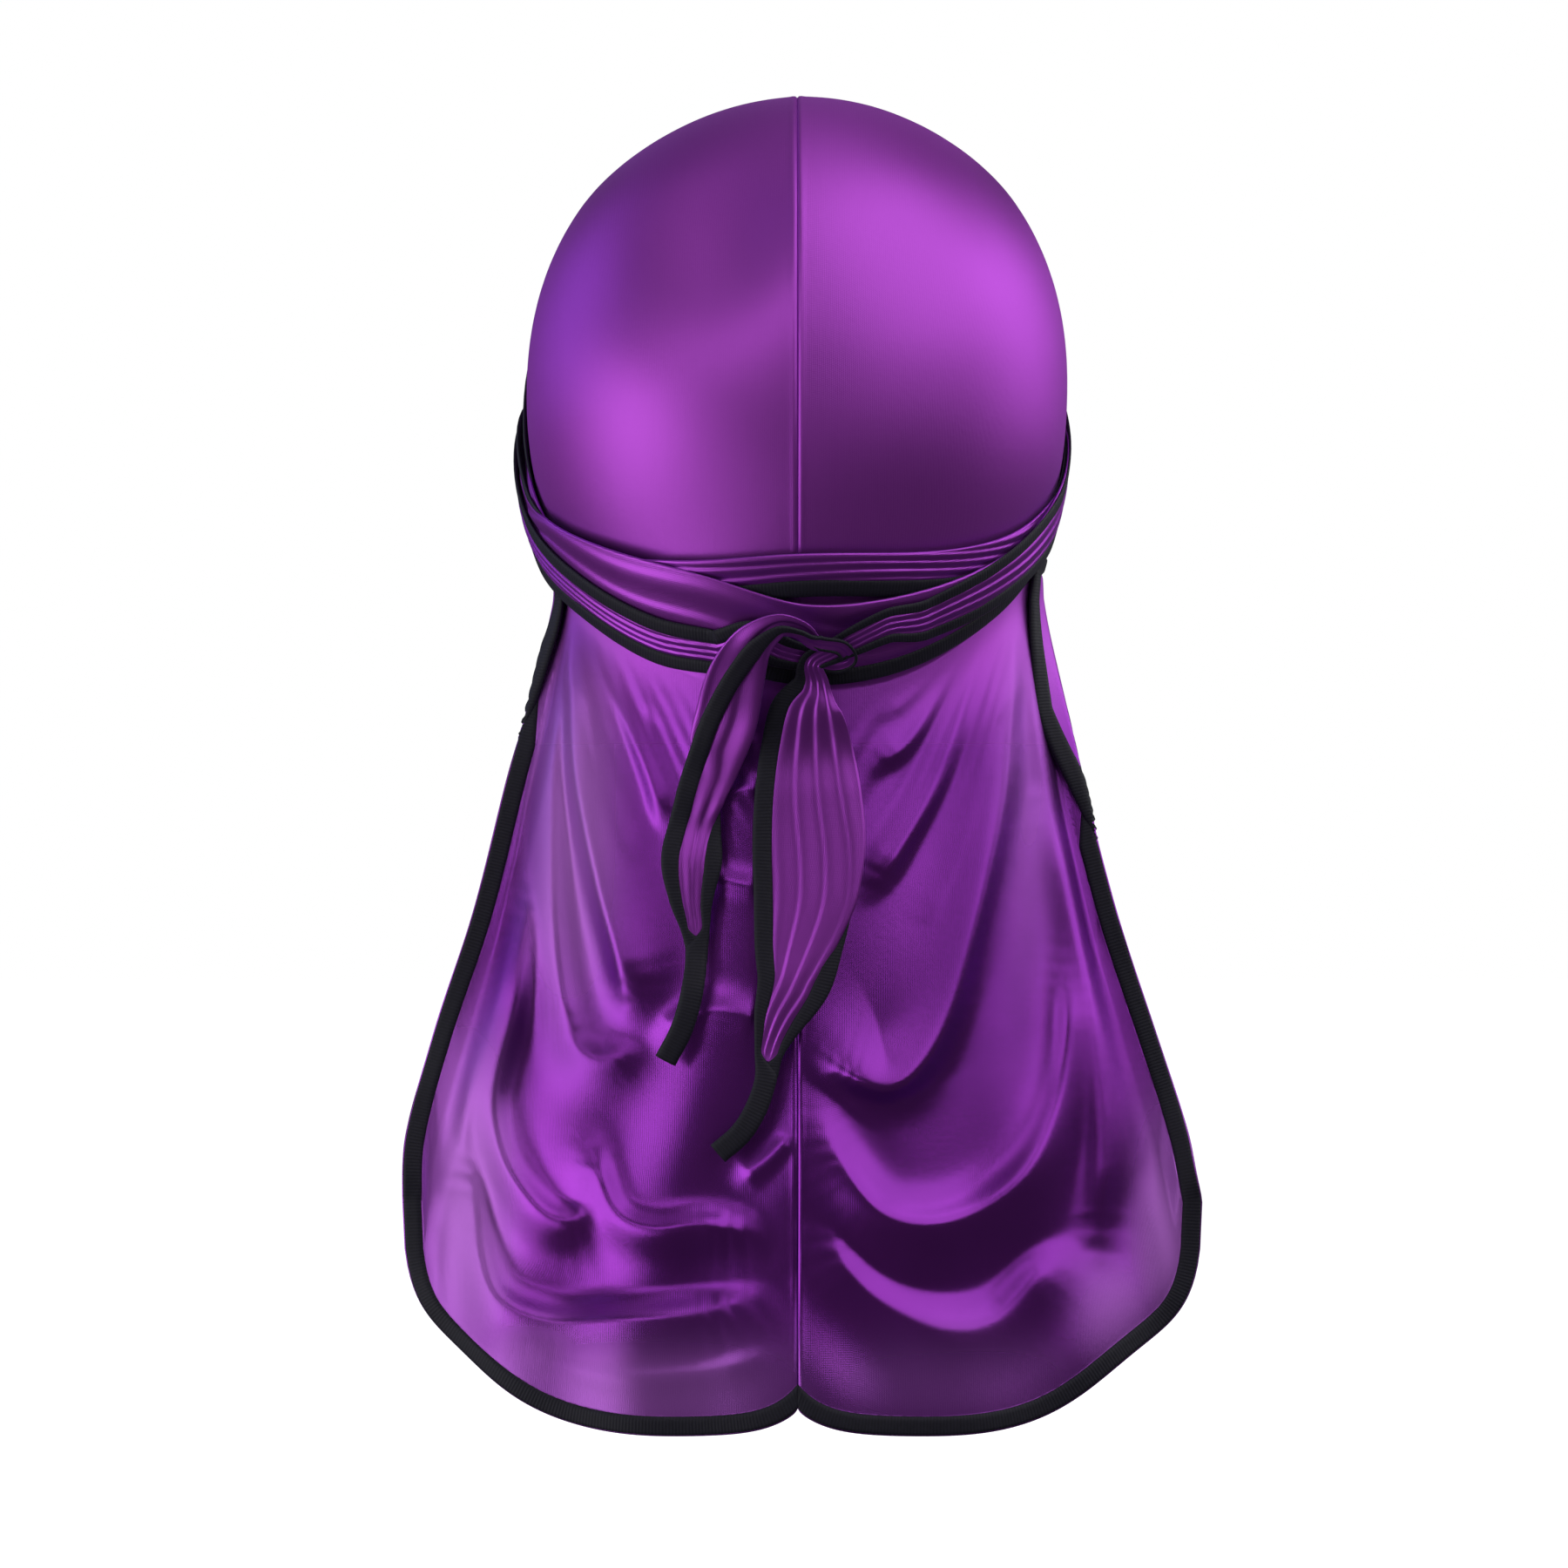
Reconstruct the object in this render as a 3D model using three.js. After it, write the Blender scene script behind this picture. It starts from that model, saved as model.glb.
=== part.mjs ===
// A durag as it is worn: two satin panels joined by a seam over the crown, which run on below
// the nape as a loose cape, black binding round their edge, and two long ties that go round the
// head and meet in a knot at the back.
// Millimetres, +Z up. The face looks along -Y, the nape lies at +Y, +X is the wearer's left.
// The origin is the point inside the crown where the top of the head touches it.

import * as THREE from 'three';

// Cloth and clearances
const cloth = 1.2; // wall of the satin
const gap = 0.35; // space between pieces that lie together
const bindingWidth = 6; // black binding on the crown and the cape
const bindingProud = 0.4; // the binding's extra thickness on each face of the cape

// Hollow for the head
const headHalfWidth = 79;
const headFront = 97;
const headBack = 98;
const headTop = 88;
const headBottom = 105;
const headRound = 2.1; // power of the rounded section, 2 is an ellipse
const headEgg = 0.1; // share that the back is wider and the front narrower
const neckShare = 0.68; // girth of the neck as a share of the widest girth

// Edges of the crown
const foreheadDrop = 78;
const templeDrop = 106;
const templeTurn = 120; // degrees round from the nape
const earArch = 7; // how much the side edge arches over the ear
const earDrop = 143;
const earTurn = 70;
const napeDrop = 178;

// Cape
const capeHalfWidth = 115;
const capeWidestDrop = 328;
const capeLobe = 63.5; // depth of the two round lobes below the widest level
const capeNotch = 9.5; // height of the notch between the lobes
const capeSetBack = 74; // how far behind the head's axis the hem hangs
const capeWrap = 32; // how far the sides of the hem come forward
const foldHeight = 6;
const foldWidth = 11;

// Ties
const strapWidth = 38; // at the temple
const tapeWidth = 5.5; // black binding on the ties
const pleatHeight = 0.5;
const tipWidth = 6.3; // the last stretch of a tie is bare tape
const knotWidth = 24;

const LEFT = 1;
const RIGHT = -1;
const crownRows = 16;
const capeRows = 20;
const columns = 14;

const clamp = (value, low, high) => Math.min(high, Math.max(low, value));
const radians = THREE.MathUtils.degToRad;
const point = (x, y, z) => new THREE.Vector3(x, y, z);

// Smooth step of value from 0 at low to 1 at high.
function ease(low, high, value) {
  const share = clamp((value - low) / (high - low), 0, 1);
  return share * share * (3 - 2 * share);
}

// Smooth curve through a table's rows: column name, read at place, rows ordered along key.
function readTable(rows, key, name, place) {
  const passed = (index) => Math.abs(rows[index][key] - rows[0][key]) < Math.abs(place - rows[0][key]);
  let row = 0;
  while (row < rows.length - 2 && passed(row + 1)) {
    row += 1;
  }
  const slope = (index) => {
    const before = rows[Math.max(0, index - 1)];
    const after = rows[Math.min(rows.length - 1, index + 1)];
    return (after[name] - before[name]) / (after[key] - before[key]);
  };
  const span = rows[row + 1][key] - rows[row][key];
  const share = clamp((place - rows[row][key]) / span, 0, 1);
  const rise = ease(0, 1, share);
  const start = rows[row][name] * (1 - rise) + rows[row + 1][name] * rise;
  const lead = slope(row) * share * (1 - share) ** 2;
  const trail = slope(row + 1) * share * share * (1 - share);
  return start + span * (lead - trail);
}

// Head form

// Share of the full girth that is left at a height, for the dome alone.
function domeShare(z) {
  const half = z > -headTop ? headTop : headBottom;
  const rise = Math.min(1, Math.abs(z + headTop) / half);
  return (1 - rise ** headRound) ** (1 / headRound);
}

// The same share with the dome running into the neck below.
function girthShare(z) {
  const dome = domeShare(z);
  if (z > -headTop) return dome;
  const rise = Math.min(1, (-headTop - z) / headBottom);
  const neck = neckShare * (1 - (1 - rise) ** 4);
  return (dome ** 8 + neck ** 8) ** (1 / 8);
}

// Point on the head at a turn round from the nape and a height.
function headPoint(turn, z) {
  const side = Math.abs(Math.sin(turn) / headHalfWidth) ** headRound;
  const depth = Math.cos(turn) < 0 ? headFront : headBack;
  const rear = Math.abs(Math.cos(turn) / depth) ** headRound;
  const reach = girthShare(z) / (side + rear) ** (1 / headRound);
  const y = reach * Math.cos(turn);
  return point(reach * Math.sin(turn) * (1 + (headEgg * y) / headBack), y, z);
}

// Outward direction of the head's surface there, by small differences.
function headNormal(turn, z) {
  const around = headPoint(turn + 0.01, z).sub(headPoint(turn - 0.01, z));
  const upward = headPoint(turn, z + 0.5).sub(headPoint(turn, z - 0.5));
  return upward.cross(around).normalize();
}

// Point that stands off the head by a distance.
function offHead(turn, z, stand) {
  return headPoint(turn, z).addScaledVector(headNormal(turn, z), stand);
}

// Point of the head that lies in a direction from its centre, and the direction of a point.
function headAlong(direction) {
  const d = direction;
  const depth = d.y < 0 ? headFront : headBack;
  const height = d.z > 0 ? headTop : headBottom;
  const parts = [d.x / headHalfWidth, d.y / depth, d.z / height];
  const reach = parts.reduce((sum, part) => sum + Math.abs(part) ** headRound, 0) ** (-1 / headRound);
  const z = d.z * reach - headTop;
  const spread = girthShare(z) / Math.max(0.05, domeShare(z));
  const grown = z > -headTop ? reach : reach * spread;
  const y = d.y * grown;
  return point(d.x * grown * (1 + (headEgg * y) / headBack), y, z);
}

function directionOf(place) {
  const spread = place.z > -headTop ? 1 : girthShare(place.z) / domeShare(place.z);
  const x = place.x / (1 + (headEgg * place.y) / headBack);
  return point(x / spread, place.y / spread, place.z + headTop).normalize();
}

function turnOf(place) {
  return Math.atan2(place.x / (1 + (headEgg * place.y) / headBack), place.y);
}

// Direction a share of the way from one direction to another along the great circle.
function between(from, to, share) {
  const angle = from.angleTo(to);
  const scale = Math.sin(angle);
  const start = from.clone().multiplyScalar(Math.sin((1 - share) * angle) / scale);
  return start.addScaledVector(to, Math.sin(share * angle) / scale);
}

// Crown: rows run from the seam to the side edge, from the forehead over the top to the nape.

const tieRise = 2.6; // power by which the lower edge of the ties climbs towards the ear

function tiePoint(across) {
  const turn = radians(earTurn) * across;
  const share = Math.sin(turn) / Math.sin(radians(earTurn));
  return headPoint(turn, -napeDrop + (napeDrop - earDrop) * share ** tieRise);
}

const foreheadAim = directionOf(headPoint(Math.PI, -foreheadDrop));
const napeAim = directionOf(headPoint(0, -napeDrop));
const templeAim = directionOf(headPoint(radians(templeTurn), -templeDrop));
const earAim = directionOf(tiePoint(1));
const seamStart = Math.atan2(foreheadAim.z, -foreheadAim.y);
const seamEnd = Math.PI + Math.atan2(-napeAim.z, napeAim.y);

function seamAim(down) {
  const angle = seamStart + (seamEnd - seamStart) * down;
  return point(0, -Math.cos(angle), Math.sin(angle));
}

function edgeAim(down) {
  const aim = between(templeAim, earAim, down);
  aim.z += (earArch / headHalfWidth) * Math.sin(Math.PI * down);
  return aim.normalize();
}

const foreheadDip = 2.6; // power by which the forehead edge dips towards the temple

function foreheadPoint(across) {
  const turn = Math.PI + (radians(templeTurn) - Math.PI) * across;
  return headPoint(turn, -foreheadDrop - (templeDrop - foreheadDrop) * across ** foreheadDip);
}

function crownPoint(across, down) {
  const aim = between(seamAim(down), edgeAim(down), across);
  const [first, last] = [between(foreheadAim, templeAim, across), between(napeAim, earAim, across)];
  aim.addScaledVector(directionOf(foreheadPoint(across)).sub(first), 1 - ease(0, 0.35, down));
  aim.addScaledVector(directionOf(tiePoint(across)).sub(last), ease(0.7, 1, down));
  return headAlong(aim);
}

// Cape: a share across from the seam, and a share down from the ties to the hem.

// Spread of the side edge from the ear (0) to the widest level (1).
const flareTable = [
  { down: 0, spread: 0 },
  { down: 0.05, spread: 0.015 },
  { down: 0.13, spread: 0.08 },
  { down: 0.34, spread: 0.29 },
  { down: 0.54, spread: 0.51 },
  { down: 0.74, spread: 0.79 },
  { down: 0.9, spread: 0.96 },
  { down: 1, spread: 1 },
];

const lobeRound = 2.4; // power of the lobe's rounded outline

function hemShare(across) {
  const outline = Math.max(0, 1 - across ** lobeRound) ** (1 / lobeRound);
  return outline + 0.045 * Math.sin(Math.PI * across) ** 2;
}

function capePoint(across, down) {
  const tie = tiePoint(across);
  const edge = tiePoint(1).x;
  const share = tie.x / edge;
  const inset = bindingWidth + gap;
  const width = edge + (capeHalfWidth - inset - edge) * readTable(flareTable, 'down', 'spread', down);
  const notch = capeNotch * Math.exp(-share / 0.07);
  const hem = -capeWidestDrop - (capeLobe - inset) * hemShare(share) + notch;
  const back = capeSetBack - capeWrap * share * share;
  return point(
    share * width,
    tie.y + (back - tie.y) * ease(0, 0.75, down),
    tie.z + (hem - tie.z) * down,
  );
}

// Main folds of the cape. The crest runs through four points, each a share across from the
// seam (the wearer's right is negative) and a share down from the ties to the hem. Width and
// height are shares of foldWidth and foldHeight.
const foldTable = [
  { across: [0.97, 0.97, 0.94, 0.9], down: [0.38, 0.5, 0.62, 0.73], width: 0.8, height: 0.6 },
  { across: [0.92, 0.85, 0.75, 0.66], down: [0.07, 0.24, 0.39, 0.52], width: 0.8, height: 0.8 },
  { across: [0.84, 0.72, 0.58, 0.44], down: [0.05, 0.17, 0.32, 0.44], width: 0.8, height: 0.9 },
  { across: [0.72, 0.64, 0.54, 0.44], down: [0.03, 0.07, 0.12, 0.18], width: 0.6, height: 0.5 },
  { across: [0.81, 0.8, 0.66, 0.49], down: [0.57, 0.68, 0.78, 0.72], width: 1, height: 1 },
  { across: [0.5, 0.44, 0.3, 0.15], down: [0.66, 0.74, 0.76, 0.72], width: 0.9, height: 0.8 },
  { across: [0.87, 0.74, 0.4, 0.04], down: [0.74, 0.9, 0.91, 0.84], width: 1.1, height: 1 },
  { across: [-0.8, -0.62, -0.32, -0.06], down: [0.06, 0.27, 0.63, 0.52], width: 1, height: 1.1 },
  { across: [-0.64, -0.55, -0.42, -0.3], down: [0.05, 0.1, 0.18, 0.25], width: 0.6, height: 0.6 },
  { across: [-0.89, -0.94, -0.91, -0.79], down: [0.14, 0.35, 0.52, 0.66], width: 0.8, height: 0.7 },
  { across: [-0.83, -0.78, -0.66, -0.47], down: [0.46, 0.6, 0.69, 0.73], width: 1, height: 0.9 },
  { across: [-0.88, -0.84, -0.78, -0.67], down: [0.56, 0.66, 0.78, 0.89], width: 0.9, height: 0.7 },
  { across: [-0.07, -0.17, -0.45, -0.66], down: [0.7, 0.86, 0.94, 0.84], width: 1.1, height: 1 },
];

const crestSteps = 12;
const foldCrests = foldTable.map((fold) => {
  const knots = fold.across.map((across, index) => {
    const place = capePoint(Math.abs(across), fold.down[index]);
    return point(Math.sign(across) * place.x, 0, place.z);
  });
  const crest = new THREE.CatmullRomCurve3(knots).getPoints(crestSteps);
  return { crest, width: fold.width * foldWidth, height: fold.height * foldHeight };
});

// How far the folds lift the cape at a place, side and height alone.
function foldLift(x, z) {
  const place = point(x, 0, z);
  const closest = point(0, 0, 0);
  let lift = 0;
  for (const fold of foldCrests) {
    let nearest = Infinity;
    let along = 0;
    for (let step = 0; step < crestSteps; step += 1) {
      const stretch = new THREE.Line3(fold.crest[step], fold.crest[step + 1]);
      const part = stretch.closestPointToPointParameter(place, true);
      const distance = stretch.at(part, closest).distanceTo(place);
      if (distance < nearest) {
        nearest = distance;
        along = (step + part) / crestSteps;
      }
    }
    const fade = Math.sin(Math.PI * (along * 0.8 + 0.1)) ** 0.7;
    lift = Math.max(lift, fold.height * fade * Math.exp(-((nearest / fold.width) ** 2)));
  }
  return lift;
}

// One panel: a row of points for each step from the forehead to the hem, with its normals.
function makePanelGrid(side) {
  const rows = [];
  for (let row = 0; row <= crownRows + capeRows; row += 1) {
    const line = [];
    for (let column = 0; column <= columns; column += 1) {
      const across = column / columns;
      const down = (row - crownRows) / capeRows;
      const place = down < 0 ? crownPoint(across, row / crownRows) : capePoint(across, down);
      place.x = side * (place.x + gap / 2);
      if (down > 0) place.y += foldLift(place.x, place.z) * ease(0.02, 0.14, down);
      line.push(place);
    }
    rows.push(line);
  }
  const last = rows.length - 1;
  const normals = rows.map((line, row) => line.map((place, column) => {
    const onward = rows[Math.min(last, row + 1)][column].clone();
    const downward = onward.sub(rows[Math.max(0, row - 1)][column]);
    const outer = line[Math.min(columns, column + 1)].clone();
    const outward = outer.sub(line[Math.max(0, column - 1)]);
    const normal = outward.cross(downward).multiplyScalar(side);
    if (column === 0) normal.x = 0;
    return normal.normalize();
  }));
  return { rows, normals };
}

const panelGrids = { [LEFT]: makePanelGrid(LEFT), [RIGHT]: makePanelGrid(RIGHT) };

// Closed geometry from corner points and triangles, with its faces turned outwards.
function makeSolid(corners, triangles) {
  let volume = 0;
  for (const [a, b, c] of triangles) {
    volume += corners[a].dot(corners[b].clone().cross(corners[c]));
  }
  const faces = volume < 0 ? triangles.map(([a, b, c]) => [a, c, b]) : triangles;
  const geometry = new THREE.BufferGeometry();
  const places = corners.flatMap((corner) => corner.toArray());
  geometry.setAttribute('position', new THREE.Float32BufferAttribute(places, 3));
  geometry.setIndex(faces.flat());
  geometry.computeVertexNormals();
  return geometry;
}

// Wall of cloth between a grid of inner points and the same grid moved out by its thickness.
function makeWall({ rows, normals }) {
  const high = rows.length;
  const wide = rows[0].length;
  const inner = rows.flat();
  const outer = rows.flatMap((line, row) => line.map((place, column) => (
    place.clone().addScaledVector(normals[row][column], cloth))));
  const shift = inner.length;
  const at = (row, column) => row * wide + column;
  const triangles = [];
  for (let row = 0; row < high - 1; row += 1) {
    for (let column = 0; column < wide - 1; column += 1) {
      const [a, b] = [at(row, column), at(row, column + 1)];
      const [c, d] = [at(row + 1, column + 1), at(row + 1, column)];
      triangles.push([a, b, c], [a, c, d]);
      triangles.push([shift + a, shift + c, shift + b], [shift + a, shift + d, shift + c]);
    }
  }
  const rim = [];
  for (let column = 0; column < wide - 1; column += 1) rim.push(at(0, column));
  for (let row = 0; row < high - 1; row += 1) rim.push(at(row, wide - 1));
  for (let column = wide - 1; column > 0; column -= 1) rim.push(at(high - 1, column));
  for (let row = high - 1; row > 0; row -= 1) rim.push(at(row, 0));
  rim.forEach((a, index) => {
    const b = rim[(index + 1) % rim.length];
    triangles.push([a, shift + a, shift + b], [a, shift + b, b]);
  });
  return makeSolid([...inner, ...outer], triangles);
}

// Solid through a list of closed sections with as many corners each, flat at both ends.
function makeLoft(sections) {
  const size = sections[0].length;
  const triangles = [];
  for (let index = 0; index < sections.length - 1; index += 1) {
    const [here, next] = [index * size, (index + 1) * size];
    for (let corner = 0; corner < size; corner += 1) {
      const after = (corner + 1) % size;
      triangles.push([here + corner, here + after, next + after]);
      triangles.push([here + corner, next + after, next + corner]);
    }
  }
  const end = (sections.length - 1) * size;
  for (let corner = 1; corner < size / 2; corner += 1) {
    const across = size - corner;
    const cap = [[corner - 1, across % size, corner], [corner, across % size, across - 1]];
    for (const [a, b, c] of cap) {
      if (b === c || a === b) continue;
      triangles.push([a, b, c], [end + a, end + c, end + b]);
    }
  }
  return makeSolid(sections.flat(), triangles);
}

// Binding along the rim of the cloth

// Flat bar that starts a gap outside the rim and is as wide as the binding. The rim is a list
// of stations, each the cloth's inner point, its normal and how proud the binding stands.
function makeRimBar(rim, outwardSign) {
  const sections = rim.map((station, index) => {
    const after = rim[Math.min(rim.length - 1, index + 1)].place;
    const before = rim[Math.max(0, index - 1)].place;
    const outward = after.clone().sub(before).cross(station.normal);
    outward.multiplyScalar(outwardSign).normalize();
    if (station.straightDown) outward.set(0, outward.y, -Math.abs(outward.z)).normalize();
    const corner = (reach, stand) => station.place.clone()
      .addScaledVector(outward, reach).addScaledVector(station.normal, stand);
    const [low, high] = [-station.proud, cloth + station.proud];
    const far = gap + bindingWidth;
    return [corner(gap, low), corner(gap, high), corner(far, high), corner(far, low)];
  });
  return makeLoft(sections);
}

function makeSideBinding(side) {
  const { rows, normals } = panelGrids[side];
  const rim = [];
  rows.forEach((line, row) => {
    const proud = bindingProud * ease(0, 3, row - crownRows - 1);
    rim.push({ place: line[columns], normal: normals[row][columns], proud });
  });
  const last = rows.length - 1;
  for (let column = columns - 1; column >= 0; column -= 1) {
    const normal = normals[last][column];
    rim.push({ place: rows[last][column], normal, proud: bindingProud, straightDown: column === 0 });
  }
  return makeRimBar(rim, side);
}

function makeFrontBinding() {
  const rim = [];
  for (const side of [RIGHT, LEFT]) {
    const { rows, normals } = panelGrids[side];
    const edge = rows[0].map((place, column) => ({ place, normal: normals[0][column], proud: 0 }));
    rim.push(...(side === RIGHT ? edge.reverse() : edge));
  }
  return makeRimBar(rim, 1);
}

// Ties: each leaves its temple, passes behind, round the other side, over the forehead and back
// round its own side to the knot, then hangs as a tail.

const layerStep = cloth + pleatHeight + gap;
const standOf = (layer) => cloth + 2 * gap + (layer - 1) * layerStep;

// Height between the forehead edge (0) and the nape (1).
const levelOf = (share) => -foreheadDrop - share * (napeDrop - foreheadDrop);

// Turn in degrees round from the nape, towards the wearer's left. Level is a share as above,
// width a share of strapWidth, and layer counts the wraps that lie under this one.
const leftWrap = [
  { turn: 118, level: 0.28, width: 0.95, layer: 1 },
  { turn: 108, level: 0.28, width: 0.92, layer: 2 },
  { turn: 97, level: 0.31, width: 0.86, layer: 2 },
  { turn: 87, level: 0.38, width: 0.74, layer: 2 },
  { turn: 75, level: 0.48, width: 0.52, layer: 2 },
  { turn: 60, level: 0.57, width: 0.52, layer: 2 },
  { turn: 40, level: 0.67, width: 0.62, layer: 2 },
  { turn: 20, level: 0.76, width: 0.7, layer: 2 },
  { turn: 0, level: 0.85, width: 0.71, layer: 2 },
  { turn: -20, level: 0.82, width: 0.68, layer: 2 },
  { turn: -45, level: 0.68, width: 0.56, layer: 2 },
  { turn: -70, level: 0.47, width: 0.48, layer: 2 },
  { turn: -90, level: 0.34, width: 0.6, layer: 2 },
  { turn: -118, level: 0.13, width: 0.6, layer: 2 },
  { turn: -140, level: -0.01, width: 0.52, layer: 2 },
  { turn: -160, level: -0.07, width: 0.47, layer: 1 },
  { turn: -180, level: -0.09, width: 0.45, layer: 1 },
  { turn: -200, level: -0.07, width: 0.47, layer: 1.2 },
  { turn: -215, level: -0.01, width: 0.52, layer: 2 },
  { turn: -232, level: 0.1, width: 0.6, layer: 3 },
  { turn: -253, level: 0.24, width: 0.62, layer: 3 },
  { turn: -263, level: 0.32, width: 0.6, layer: 3 },
  { turn: -273, level: 0.42, width: 0.56, layer: 3 },
  { turn: -285, level: 0.53, width: 0.5, layer: 3 },
  { turn: -308, level: 0.68, width: 0.43, layer: 3 },
  { turn: -330, level: 0.82, width: 0.43, layer: 3 },
  { turn: -344, level: 0.86, width: 0.4, layer: 3 },
];

const rightWrap = [
  { turn: -118, level: 0.27, width: 0.95, layer: 1 },
  { turn: -105, level: 0.3, width: 0.9, layer: 1 },
  { turn: -90, level: 0.38, width: 0.75, layer: 1 },
  { turn: -75, level: 0.47, width: 0.62, layer: 1 },
  { turn: -60, level: 0.55, width: 0.5, layer: 1 },
  { turn: -43, level: 0.62, width: 0.4, layer: 1 },
  { turn: -25, level: 0.66, width: 0.34, layer: 1 },
  { turn: 0, level: 0.67, width: 0.32, layer: 1 },
  { turn: 20, level: 0.69, width: 0.38, layer: 1 },
  { turn: 45, level: 0.67, width: 0.45, layer: 1 },
  { turn: 60, level: 0.61, width: 0.48, layer: 1 },
  { turn: 75, level: 0.46, width: 0.48, layer: 1 },
  { turn: 87, level: 0.32, width: 0.6, layer: 1 },
  { turn: 97, level: 0.14, width: 0.62, layer: 1 },
  { turn: 107, level: -0.02, width: 0.55, layer: 1 },
  { turn: 118, level: -0.13, width: 0.52, layer: 1 },
  { turn: 135, level: -0.21, width: 0.48, layer: 1 },
  { turn: 160, level: -0.26, width: 0.45, layer: 1 },
  { turn: 180, level: -0.27, width: 0.44, layer: 1 },
  { turn: 200, level: -0.25, width: 0.46, layer: 1.6 },
  { turn: 215, level: -0.17, width: 0.5, layer: 2.9 },
  { turn: 230, level: -0.04, width: 0.58, layer: 3 },
  { turn: 242, level: 0.08, width: 0.6, layer: 3 },
  { turn: 255, level: 0.2, width: 0.6, layer: 3 },
  { turn: 270, level: 0.32, width: 0.58, layer: 3 },
  { turn: 288, level: 0.47, width: 0.55, layer: 3 },
  { turn: 300, level: 0.54, width: 0.5, layer: 3 },
  { turn: 313, level: 0.63, width: 0.45, layer: 3 },
  { turn: 322, level: 0.69, width: 0.42, layer: 3 },
  { turn: 334, level: 0.76, width: 0.36, layer: 3 },
];

// The knot, from its centre: side and rise are shares of knotWidth, width a share of
// strapWidth, and lift counts the layers of tie that lie under this one.
const knotSide = -2.3;
const knotLevel = 0.89;
const leftKnot = [
  { side: 0.6, rise: 0.08, width: 0.3, lift: 1.2 },
  { side: 0.24, rise: -0.04, width: 0.24, lift: 2.2 },
  { side: -0.16, rise: -0.18, width: 0.2, lift: 2.2 },
  { side: -0.54, rise: -0.31, width: 0.18, lift: 1.1 },
  { side: -0.75, rise: -0.08, width: 0.18, lift: 0 },
  { side: -0.74, rise: 0.27, width: 0.18, lift: 0 },
  { side: -0.5, rise: 0.55, width: 0.19, lift: 0.4 },
  { side: -0.12, rise: 0.66, width: 0.22, lift: 1.6 },
  { side: 0.24, rise: 0.62, width: 0.27, lift: 3.4 },
  { side: 0.58, rise: 0.42, width: 0.34, lift: 4.8 },
  { side: 0.86, rise: 0.08, width: 0.42, lift: 5.2 },
  { side: 1.04, rise: -0.33, width: 0.5, lift: 4.2 },
  { side: 1.16, rise: -0.8, width: 0.5, lift: 2 },
];
const rightKnot = [
  { side: -0.95, rise: 0.36, width: 0.3, lift: 1 },
  { side: -0.7, rise: 0.2, width: 0.27, lift: 1.1 },
  { side: -0.42, rise: 0.06, width: 0.25, lift: 1.1 },
  { side: -0.13, rise: -0.1, width: 0.23, lift: 1.1 },
  { side: -0.01, rise: -0.34, width: 0.22, lift: 1.1 },
  { side: -0.03, rise: -0.66, width: 0.32, lift: 0.8 },
];

// Tails: side is a share of capeHalfWidth, down a share of the way from the nape to the hem,
// width a share of strapWidth, and bare marks the last stretch of tape alone.
const leftTail = [
  { side: 0.235, down: 0.103, width: 0.4, bare: 0 },
  { side: 0.25, down: 0.174, width: 0.34, bare: 0 },
  { side: 0.256, down: 0.244, width: 0.3, bare: 0 },
  { side: 0.245, down: 0.31, width: 0.24, bare: 0 },
  { side: 0.246, down: 0.36, width: 0, bare: 1 },
  { side: 0.256, down: 0.42, width: 0, bare: 1 },
  { side: 0.285, down: 0.47, width: 0, bare: 1 },
  { side: 0.34, down: 0.505, width: 0, bare: 1 },
];
const rightTail = [
  { side: -0.05, down: 0.08, width: 0.5, bare: 0 },
  { side: -0.055, down: 0.135, width: 0.65, bare: 0 },
  { side: -0.052, down: 0.18, width: 0.72, bare: 0 },
  { side: -0.048, down: 0.235, width: 0.72, bare: 0 },
  { side: -0.03, down: 0.303, width: 0.66, bare: 0 },
  { side: -0.005, down: 0.373, width: 0.48, bare: 0 },
  { side: 0.022, down: 0.44, width: 0.3, bare: 0 },
  { side: 0.045, down: 0.485, width: 0, bare: 1 },
  { side: 0.08, down: 0.54, width: 0, bare: 1 },
  { side: 0.13, down: 0.585, width: 0, bare: 1 },
  { side: 0.2, down: 0.612, width: 0, bare: 1 },
];

// Front face of the cape near a place, so that what hangs before it clears its folds.
const capeFace = [LEFT, RIGHT].flatMap((side) => {
  const { rows, normals } = panelGrids[side];
  return rows.slice(crownRows).flatMap((line, row) => line.map((place, column) => (
    place.clone().addScaledVector(normals[row + crownRows][column], cloth))));
});

function faceBehind(x, z, reach) {
  let face = -Infinity;
  for (const place of capeFace) {
    const distance = Math.hypot(place.x - x, place.z - z);
    if (distance < reach) face = Math.max(face, place.y);
  }
  return face;
}

const tailReach = 15; // how far round itself a tail looks for the folds that it clears
const capeDrop = capeWidestDrop + capeLobe;
const knotStep = cloth + 2 * gap; // from one layer of the knot to the next

// A place of the knot lies over the second layer of ties, which is where the third starts.
function knotStation(row) {
  const x = knotSide + row.side * knotWidth;
  const z = levelOf(knotLevel) + row.rise * knotWidth;
  const stand = standOf(3) + row.lift * knotStep;
  const low = levelOf(1);
  let [turn, level] = [Math.asin(x / headBack), Math.max(z, low)];
  let place = offHead(turn, level, stand);
  for (let pass = 0; pass < 3; pass += 1) {
    turn += (x - place.x) / headBack;
    level = Math.max(low, level + z - place.z);
    place = offHead(turn, level, stand);
  }
  const lean = ease(0, knotWidth, low - z);
  const normal = headNormal(turn, level).lerp(point(0, 1, 0), lean);
  place.z = Math.min(place.z, z);
  return { place, normal, width: row.width * strapWidth, bare: 0 };
}

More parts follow.
